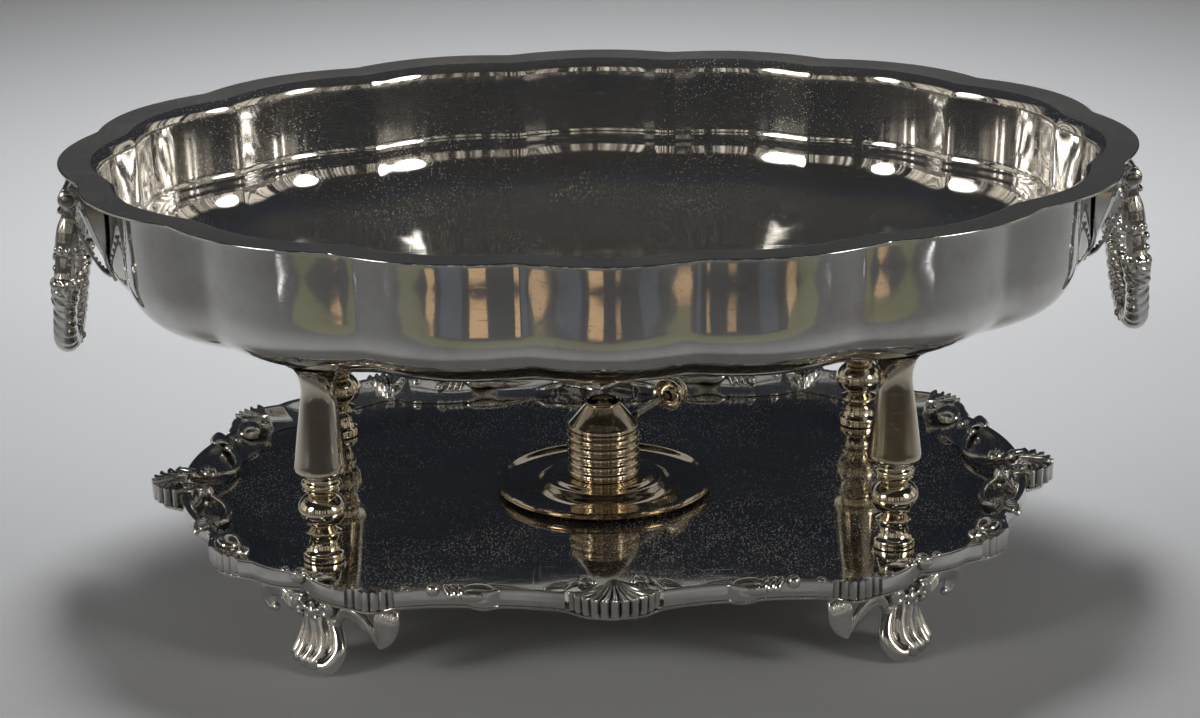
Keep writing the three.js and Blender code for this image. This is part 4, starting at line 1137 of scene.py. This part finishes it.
def foot_scroll(casting):
    """An open scroll that winds back on itself, with an inner ridge and a curled slip at its root."""
    for shift, thick in ((0.0, 1.2), (2.4, 1.0), (4.2, 0.7)):
        casting.bar([
            (2.6, 9.0, 22.6, 1.6 * thick), (3.0, 13.0, 26.2 - 0.4 * shift, 2.1 * thick),
            (2.8, 18.0, 30.4 - shift, 2.4 * thick), (2.2, 24.4, 33.0 - shift, 2.5 * thick),
            (1.8, 30.6 - 0.4 * shift, 31.4 - 0.8 * shift, 2.3 * thick),
            (1.6, 33.4 - shift, 26.8, 2.0 * thick),
            (1.6, 32.0 - 0.9 * shift, 22.2 + 0.3 * shift, 1.7 * thick),
            (1.8, 28.4, 20.6 + 0.3 * shift, 1.3 * thick),
        ], 54, 14)
    casting.ball((1.8, 27.4, 21.4), 2.1)
    casting.bar([
        (4.0, 12.6, 23.4, 0.8), (5.0, 15.8, 26.0, 1.4), (4.8, 19.0, 29.4, 1.5), (3.6, 17.0, 32.4, 1.2),
        (3.4, 13.6, 31.0, 0.8),
    ], 34, 12)
    casting.bar([(1.6, 14, 34.8, 2.4), (0.8, 26, 35.4, 2.4), (0.0, 37.0, 35.2, 1.7)], 24, 12)
    casting.ball((0.6, 37.4, 32.6), 1.9, (1, 1, 1.3))


def make_feet():
    casting = Casting()
    foot_leg(casting)
    foot_knot(casting)
    foot_leaf(casting)
    foot_scroll(casting)
    foot = casting.piece("foot_master", 0.4)
    for corner, x, y in CORNERS:
        turn = math.radians(FOOT_TURN)
        around = math.atan2(y * math.sin(turn), x * math.cos(turn))
        place = Matrix.Translation(Vector((x * FOOT_X, y * FOOT_Y, 0)) * MM)
        place = place @ Matrix.Rotation(around, 4, "Z")
        # Mirrored at two corners, so that every leaf points towards the wide shell beside it
        if x * y > 0:
            place = place @ Matrix.Diagonal((1, -1, 1, 1))
        piece = copy_placed(foot, f"scroll_foot_{corner}", place)
        paint(piece, CAST_PLATE)
        ride(piece, "stand", "cast_silver", f"foot_{corner}")
    bpy.data.objects.remove(foot)


# Columns, heights above the field
def baluster_profile():
    ball = [
        (11.5 * math.cos(math.radians(angle)), 24 + 8.7 * math.sin(math.radians(angle)))
        for angle in range(-62, 63, 8)
    ]
    return [
        (9.6, 0.3), (10.0, 0.6), (10.0, 3.2), (9.7, 4.0), (9.0, 4.5), (8.2, 5.2), (7.5, 7.0),
        (7.0, 9.4), (7.2, 11.4), (7.9, 12.4), (8.7, 12.9), (8.9, 13.6), (8.7, 14.3), (7.9, 14.8),
        (6.2, 15.6),
        *ball,
        (6.3, 32.0), (7.6, 32.4), (8.5, 33.0), (8.8, 33.8), (8.4, 34.5), (7.9, 34.9), (8.4, 35.2),
        (9.2, 35.8), (9.3, 36.7), (8.9, 37.5), (8.2, 38.1), (7.9, 38.7), (8.0, 39.4), (8.3, 40.2),
        (8.3, 45.0), (5.4, 45.0), (5.2, 45.2), (5.2, 66.0), (4.2, 67.0),
    ]


def leg_profile():
    top = BASIN_BOTTOM - LEG_GAP - FIELD_HEIGHT
    neck = top - 15
    cone = []
    for share in np.linspace(0, 1, 10):
        eased = share**1.25
        cone.append((11.9 + (7.75 - 11.9) * (0.82 * share + 0.18 * eased), 47.2 + (neck - 47.2) * share))
    return [
        (5.6, 68.0), (5.6, 45.3), (8.7, 45.3), (8.7, 42.2), (9.2, 41.9), (11.4, 42.0), (12.1, 42.5),
        (12.35, 43.3), (12.3, 44.6), (12.1, 45.8),
        *cone,
        (7.8, neck + 2.4), (8.1, neck + 4.8), (8.7, neck + 7.2), (9.5, neck + 9.4), (10.6, neck + 11.4),
        (12.0, neck + 13.2), (13.6, neck + 14.4), (15.0, top),
    ]


def make_columns():
    for corner, x, y in CORNERS:
        centre = (x * COLUMN_X, y * COLUMN_Y)
        for name, profile, body, node in (
            ("column_baluster", baluster_profile(), "stand", "baluster"),
            ("column_leg", leg_profile(), "basin", "basin_leg"),
        ):
            piece = turned(f"{name}_{corner}", profile, centre, FIELD_HEIGHT)
            smooth(piece, 40)
            paint(piece, COLUMN_PLATE)
            ride(piece, body, "column_plate", f"{node}_{corner}")
        for kind in ("stud", "washer", "nut"):
            paint(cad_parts[f"{kind}_{corner}"], STEEL)


# Handles, made for the +X end round the hinge's axis
LIMB_STOPS = (
    (0, 3.2), (0.08, 3.0), (0.12, 3.2), (0.15, 4.0), (0.2, 4.8), (0.27, 5.3), (0.31, 5.2),
    (0.335, 4.4), (0.36, 4.2), (0.46, 4.4), (0.49, 5.0), (0.53, 5.9), (0.6, 6.1), (0.66, 5.6),
    (0.7, 5.0), (0.85, 5.2), (1, 5.4),
)


def limb_radius(drop):
    return np.interp(drop, [stop[0] for stop in LIMB_STOPS], [stop[1] for stop in LIMB_STOPS])


def handle_path(count):
    half = [
        (EYE_Y, 0), (EYE_Y + 0.6, 0.28), (HANDLE_HALF_WIDTH, 0.5), (0.93 * HANDLE_HALF_WIDTH, 0.72),
        (0.62 * HANDLE_HALF_WIDTH, 0.93),
    ]
    places = half + [(0, 1)] + [(-y, drop) for y, drop in reversed(half)]
    return curve_through([(0, y, -drop * HANDLE_DROP) for y, drop in places], count)


def limb(path):
    """Rings of the ring handle: a reeded bud, a band, a wrung rope and a long leaf wound round it."""
    tangents = np.gradient(path, axis=0)
    tangents /= np.linalg.norm(tangents, axis=1)[:, None]
    out = np.array([1.0, 0, 0])
    sides = 48
    turn = np.linspace(0, 2 * math.pi, sides, endpoint=False)
    loops = []
    for point, tangent, at in zip(path, tangents, travelled(path)):
        drop = min(1.0, -point[2] / HANDLE_DROP)
        across = np.cross(tangent, out)
        radius = np.full(sides, limb_radius(drop))
        # Reeds of the bud, strands of the rope, then folds of the leaf
        if 0.13 < drop < 0.325:
            radius += 0.55 * (np.abs(np.cos(4.5 * turn)) ** 0.7 - 0.5) * min(1.0, (drop - 0.13) / 0.05)
        if 0.49 < drop < 0.66:
            radius += 0.75 * np.abs(np.sin(3 * turn + 0.9 * at)) * np.abs(np.sin(0.62 * at))
        if drop > 0.68:
            side = 1 if point[1] > 0 else -1
            radius += 0.85 * (np.abs(np.sin(0.55 * at + side * 1.0 * turn)) ** 0.8 - 0.4)
        loops.append(point + np.outer(radius * np.cos(turn), out) + np.outer(radius * np.sin(turn), across))
    return loops


def handle_ornament(casting, path, side):
    """The knuckle, beads, berries and leaves on the limb at one side of the handle."""
    y = side * EYE_Y
    # Eye: a twisted knuckle of two rings
    for shift in (-2.4, 2.4):
        casting.bar([
            (3.6 * math.cos(angle), y + shift, 3.6 * math.sin(angle), 1.35)
            for angle in np.linspace(0, 2 * math.pi, 15)
        ], 30, 10, up=(0, 1, 0))
    casting.bar([(0, y - 4.2, 0, 3.6), (0, y, 0, 3.3), (0, y + 4.2, 0, 3.6)], 10, 20, up=(1, 0, 0))
    casting.bar([(3.4, y - 3.6, -5.4, 1.1), (3.9, y, -6.2, 1.4), (3.4, y + 3.6, -5.4, 1.1)], 14, 8)
    # Scalloped lower edge of the bud, in beads
    bud_end = (0, side * (EYE_Y + 0.9), -0.318 * HANDLE_DROP)
    casting.wreath(bud_end, (4.9, 0, 0), (0, 4.9, 0), 9, math.pi / 9, 1.35, (1, 1, 1.25))
    # Three ridges down the band, with two berries between them
    for angle in (0.15, 2.1, 4.3):
        ridge = []
        for radius, shift, drop, thick in (
            (4.5, 0, 0.34, 0.5), (4.6, 0.4, 0.42, 0.6), (4.9, 0.7, 0.49, 0.5),
        ):
            across = side * (EYE_Y + 1.2) + shift * side + radius * math.sin(angle)
            ridge.append((radius * math.cos(angle), across, -drop * HANDLE_DROP, thick))
        casting.bar(ridge, 14, 8)
    for drop, size in ((0.375, 2.2), (0.45, 1.9)):
        casting.ball((4.6, side * (EYE_Y + 0.9) - 1.6, -drop * HANDLE_DROP), size)
    # Small leaves down the inner edge of the lower limb
    for index in range(9):
        drop = (0.66 + 0.31 * index / 8) * HANDLE_DROP
        near = path[np.argmin(np.abs(path[:, 2] + drop) + 100 * (path[:, 1] * side < 0))]
        for face in (-1, 1):
            casting.ball((near[0] + 3.9 * face, near[1] - 2.6 * side, near[2] + 2.4), 1.25, (1, 0.8, 1.3))
    # Knot of laurel above the rope
    rope_start = (0, side * HANDLE_HALF_WIDTH * 0.995, -0.535 * HANDLE_DROP)
    casting.wreath(rope_start, (5.6, 0, 0), (0, 5.6, 0), 8, 0, 1.7, (1, 1, 1.6))


def handle_clasp(casting):
    """A large bead at the bottom with a rosette on each face."""
    casting.ball((0, 0, -HANDLE_DROP), 6.6, (0.95, 0.8, 0.9), 0, 24)
    for face in (-1, 1):
        casting.ball((5.4 * face, 0, -HANDLE_DROP + 0.4), 2.0)
        casting.wreath((4.9 * face, 0, -HANDLE_DROP + 0.4), (0, 3.0, 0), (0, 0, 3.0), 6, 0, 1.2)


def bored(piece, half_length, place):
    """Cuts the hinge pin's bore, which is made along +Z and moved by a matrix, through a casting."""
    profile = [(PIN_BORE_RADIUS, -half_length), (PIN_BORE_RADIUS, half_length)]
    bore = turned("pin_bore", profile, sides=24)
    bore.data.transform(place)
    modify(piece, "BOOLEAN", operation="DIFFERENCE", object=bore, solver="EXACT")
    bpy.data.objects.remove(bore)


def make_handles():
    casting = Casting()
    path = handle_path(420)
    casting.add_loops(limb(path))
    for side in (-1, 1):
        handle_ornament(casting, path, side)
    handle_clasp(casting)
    master = casting.piece("handle_master", 0.4)
    along_hinge = Matrix.Rotation(math.pi / 2, 4, "X")
    bored(master, 40, along_hinge)
    master.data.transform(Matrix.Rotation(-math.radians(HANDLE_TILT), 4, "Y"))
    for side, sign, turn in (("right", 1, 0), ("left", -1, math.pi)):
        hinge = Matrix.Translation(Vector((sign * HINGE_X, 0, HINGE_HEIGHT)) * MM)
        place = hinge @ Matrix.Rotation(turn, 4, "Z")
        ring = copy_placed(master, f"ring_handle_cast_{side}", place)
        paint(ring, CAST_PLATE)
        ride(ring, f"{side}_handle", "cast_silver", f"ring_handle_{side}")
        pin = turned(f"hinge_rod_{side}", rounded([
            (1.2, -36.4), (2.8, -35.8), (2.8, -34.8), (1.6, -34.8), (1.6, 34.8), (2.8, 34.8),
            (2.8, 35.8), (1.2, 36.4),
        ], 0.3), sides=32)
        pin.data.transform(place @ along_hinge)
        smooth(pin, 40)
        paint(pin, STEEL)
        ride(pin, "basin", "fastener_metal", f"hinge_pin_{side}")
    bpy.data.objects.remove(master)


def outer_wall_x(height):
    """How far the outside of the end lobe stands from the middle at a height."""
    wall_end, wall_top = RIM_HEIGHT - WALL_DEPTH, RIM_HEIGHT - 6
    wall_foot = CUSP_HALF_LENGTH - WALL_FOOT_INSET
    if height >= wall_end:
        return wall_foot + 1.5 * (height - wall_end) / (wall_top - wall_end) + LOBE_RISE
    up = (height - BASIN_BOTTOM) / (wall_end - BASIN_BOTTOM)
    out = (1 - (1 - up) ** BOWL_CURVE) ** (1 / BOWL_CURVE)
    half = FLOOR_HALF_LENGTH + (wall_foot - FLOOR_HALF_LENGTH) * out
    return half + FLOOR_LOBE_RISE + (LOBE_RISE - FLOOR_LOBE_RISE) * out


def bracket_shield():
    """Rings of the shield, which stands off the basin's wall and narrows downwards."""
    loops = []
    y = np.linspace(-1, 1, 25)
    for share in np.linspace(0, 1, 34):
        height = HINGE_HEIGHT + 3 - 48 * share
        width = 25.0 * (1 - share**2.6) ** 0.75 + 4.2 * share
        front = HINGE_X + 3.6 - (18.5 * share**1.25 if share > 0.12 else 6.0 * (0.12 - share))
        back = outer_wall_x(height) + 0.4
        bulge = front - 2.2 * y**2 - 1.2 * (np.abs(np.sin(2.5 * math.pi * y)) ** 0.7) * min(1, 4 * share)
        across = width * y
        outer = np.maximum(bulge, back + 0.8) - 0.006 * across**2
        inner = np.minimum(back - 0.007 * across**2, outer - 0.8)
        level = np.full(len(y), height)
        face = np.column_stack([outer, across, level])
        loops.append(np.vstack([face, np.column_stack([inner, across, level])[::-1]]))
    return loops


def make_brackets():
    """A shield of leaves under the flange, with rolled edges and beads at its tip."""
    casting = Casting()
    casting.add_loops(bracket_shield())
    for flank in (-1, 1):
        rim = [
            (HINGE_X + x, y * flank, HINGE_HEIGHT - z, radius)
            for x, y, z, radius in (
                (2.4, 24.6, 6, 0.9), (-2.6, 23.6, 17, 0.9), (-7.0, 19.6, 29, 0.8),
                (-11.6, 11.8, 40, 0.8), (-14.0, 3.0, 45.6, 0.8),
            )
        ]
        casting.bar(rim, 40, 8)
        for x, y, z, _ in curve_through(rim, 15)[1:-1]:
            casting.ball((x + 0.2, 0.92 * y, z + 1.2), 1.1)
        casting.scroll(
            (HINGE_X + 0.6, 13.5 * flank, HINGE_HEIGHT - 14), (0, flank, 0), (-0.15, 0, 1),
            (6.0, 1.4), 1.5, -1.2, (1.2, 0.8), 0,
        )
    for index in range(3):
        place = (HINGE_X - 14.2 - 0.8 * index, 0, HINGE_HEIGHT - 43.5 - 2.2 * index)
        casting.ball(place, 1.8 - 0.3 * index)
    casting.bar([(HINGE_X, y, HINGE_HEIGHT, 4.4) for y in (-25.1, 25.1)], 8, 24, up=(1, 0, 0))
    master = casting.piece("bracket_master", 0.45)
    hinge = Matrix.Translation(Vector((HINGE_X, 0, HINGE_HEIGHT)) * MM)
    bored(master, 30, hinge @ Matrix.Rotation(math.pi / 2, 4, "X"))
    for side, turn in (("right", 0), ("left", math.pi)):
        piece = copy_placed(master, f"console_{side}", Matrix.Rotation(turn, 4, "Z"))
        paint(piece, CAST_PLATE)
        ride(piece, "basin", "cast_silver", f"handle_bracket_{side}")
    bpy.data.objects.remove(master)


# Burner, heights above its base
def saucer_profile():
    return [
        (22, 5.5), (23.5, 5.4), (26, 4.2), (29.2, 1.2), (30.6, 0.3), (31.6, 0.0), (43, 0.0),
        (45.5, 0.2), (48.2, 1.0), (49.6, 1.5), (50.6, 1.9), (50.9, 2.4), (50.5, 2.8), (50.0, 3.05),
        (50.5, 3.3), (51.0, 3.8), (50.9, 4.4), (50.3, 4.8), (49.6, 4.7), (49.0, 4.3), (48.0, 3.3),
        (46.8, 2.7), (45.0, 2.4), (42, 2.3), (38, 2.3), (34.6, 2.35), (32.4, 2.7), (30.8, 3.5),
        (29.6, 4.5), (28.8, 5.4), (28.0, 5.9), (27.0, 6.1), (26.0, 5.95), (25.2, 5.7), (24.4, 5.8),
        (23.4, 6.4), (22.4, 6.7), (8, 6.7),
    ]


def font_profile():
    pitch = 21.5 / 5
    ribs = []
    for index in range(5):
        start = 7 + index * pitch
        ribs += [
            (16.0, start + 0.1), (16.15, start + 0.45), (16.8, start + 0.9), (17.2, start + 1.5),
            (17.3, start + 2.2), (17.2, start + 2.9), (16.8, start + 3.5), (16.2, start + 3.95),
        ]
    return [(14, 7.0), *ribs, (16.0, 28.5), (14.4, 28.5), (14.4, 8.8), (3, 8.8)]


def cap_profile():
    bottom = 30.3
    return [
        (15.2, bottom), (16.2, bottom), (CAP_RADIUS, bottom + 0.35), (CAP_RADIUS, bottom + 1.2),
        (16.3, bottom + 1.9), (15.7, bottom + 2.4), (8.55, 41.8), (8.45, 42.1), (8.75, 42.4),
        (8.85, 42.8), (8.75, 43.3), (8.5, 43.5), (7.9, 43.5), (7.6, 43.2), (7.5, 41.7),
        (14.2, bottom + 2.0), (15.2, bottom),
    ]


def knob_profile():
    """A dish with a rolled lip that faces the burner, a groove and a domed disc."""
    wide = KNOB_RADIUS
    return [
        (2.2, KNOB_SOCKET), (2.2, 0.9), (2.6, 0.6), (3.1, 0.9), (3.3, 1.6), (3.5, 2.6), (0.6 * wide, 2.7),
        (0.74 * wide, 2.4), (0.86 * wide, 1.4), (0.92 * wide, 0.4), (0.96 * wide, 0.1),
        (wide - 0.1, 0.5), (wide, 1.2), (wide, 3.2), (wide - 0.3, 3.8), (wide - 1.3, 4.1),
        (wide - 1.8, 4.4), (wide - 1.9, 4.9), (wide - 1.7, 5.3), (wide - 0.8, 5.6), (wide - 0.3, 6.0),
        (wide - 0.2, 6.8), (wide - 0.4, 7.6), (wide - 1.5, 8.4), (0.56 * wide, 9.5), (2.2, 9.9),
        (0.6, 10.0),
    ]


def make_lever():
    """The rod that stands out of the cap on a slant, and the turned knob on its end."""
    angle = math.radians(LEVER_ANGLE)
    start = math.sqrt((CAP_RADIUS + SEAT_GAP) ** 2 - (LEVER_OFFSET - LEVER_RADIUS) ** 2)
    x = start * math.cos(angle) + LEVER_OFFSET * math.sin(angle)
    y = start * math.sin(angle) - LEVER_OFFSET * math.cos(angle)
    place = (
        Matrix.Translation(Vector((x, y, BURNER_FLOOR + LEVER_HEIGHT)) * MM)
        @ Matrix.Rotation(angle, 4, "Z")
        @ Matrix.Rotation(math.pi / 2, 4, "Y")
    )
    rod = turned("lever_arm", rounded([
        (LEVER_RADIUS - 0.2, 0), (LEVER_RADIUS, 0.3), (LEVER_RADIUS, LEVER_LENGTH - 0.3),
        (LEVER_RADIUS - 0.3, LEVER_LENGTH),
    ], 0.2), sides=28)
    knob_start = LEVER_LENGTH + SEAT_GAP - KNOB_SOCKET
    knob = turned("lever_button", knob_profile(), (0, 0), knob_start, sides=64)
    for piece, material, slot, node in (
        (rod, STEEL, "fastener_metal", "lever_rod"),
        (knob, COLUMN_PLATE, "burner_plate", "lever_knob"),
    ):
        piece.data.transform(place)
        smooth(piece, 40)
        paint(piece, material)
        ride(piece, "burner_lever", slot, node)


def make_burner():
    lid = rounded([(8, 28.8), (16.8, 28.8), (16.8, 30.0), (8, 30.0), (8, 28.8)], 0.25)
    sleeve = [
        (5.8, 12.6), (6.6, 12.6), (6.6, 30.3), (9.8, 30.3), (10, 30.5), (9.8, 31.2), (6.9, 31.2),
        (6.6, 31.5), (6.6, 39.3), (6.4, 39.5), (5.9, 39.5), (5.8, 39.2), (5.8, 12.6),
    ]
    for name, profile, ring, node, body in (
        ("burner_saucer_spun", saucer_profile(), False, "burner_saucer", "burner"),
        ("burner_font_ribbed", font_profile(), False, "burner_font", "burner"),
        ("burner_cover_disc", lid, True, "burner_lid", "burner"),
        ("burner_wick_sleeve", sleeve, True, "wick_tube", "burner"),
        ("burner_cone_cap", cap_profile(), True, "burner_cap", "burner_lever"),
    ):
        piece = turned(name, profile, (0, 0), BURNER_FLOOR, sides=96, ring=ring)
        smooth(piece, 38)
        paint(piece, WARM_PLATE)
        ride(piece, body, "burner_plate", node)
    profile = rounded([(1, 8.9), (5.5, 8.9), (5.5, 40.2), (4.4, 40.5), (0.8, 40.5)], 0.4)
    wick = turned("burner_wick_braid", profile, (0, 0), BURNER_FLOOR, 40)
    smooth(wick, 40)
    paint(wick, COTTON)
    ride(wick, "burner", "wick_cotton", "wick")


make_camera()
make_studio()
make_basin()
make_plate()
make_border()
make_shell("palm_shell_front", **WIDE_SHELL, turn=math.pi, node="shell_front")
make_shell("palm_shell_back", **WIDE_SHELL, turn=0, node="shell_back")
make_shell("palm_shell_right", **END_SHELL, turn=-math.pi / 2, node="shell_right")
make_shell("palm_shell_left", **END_SHELL, turn=math.pi / 2, node="shell_left")
make_feet()
make_columns()
make_handles()
make_brackets()
make_burner()
make_lever()
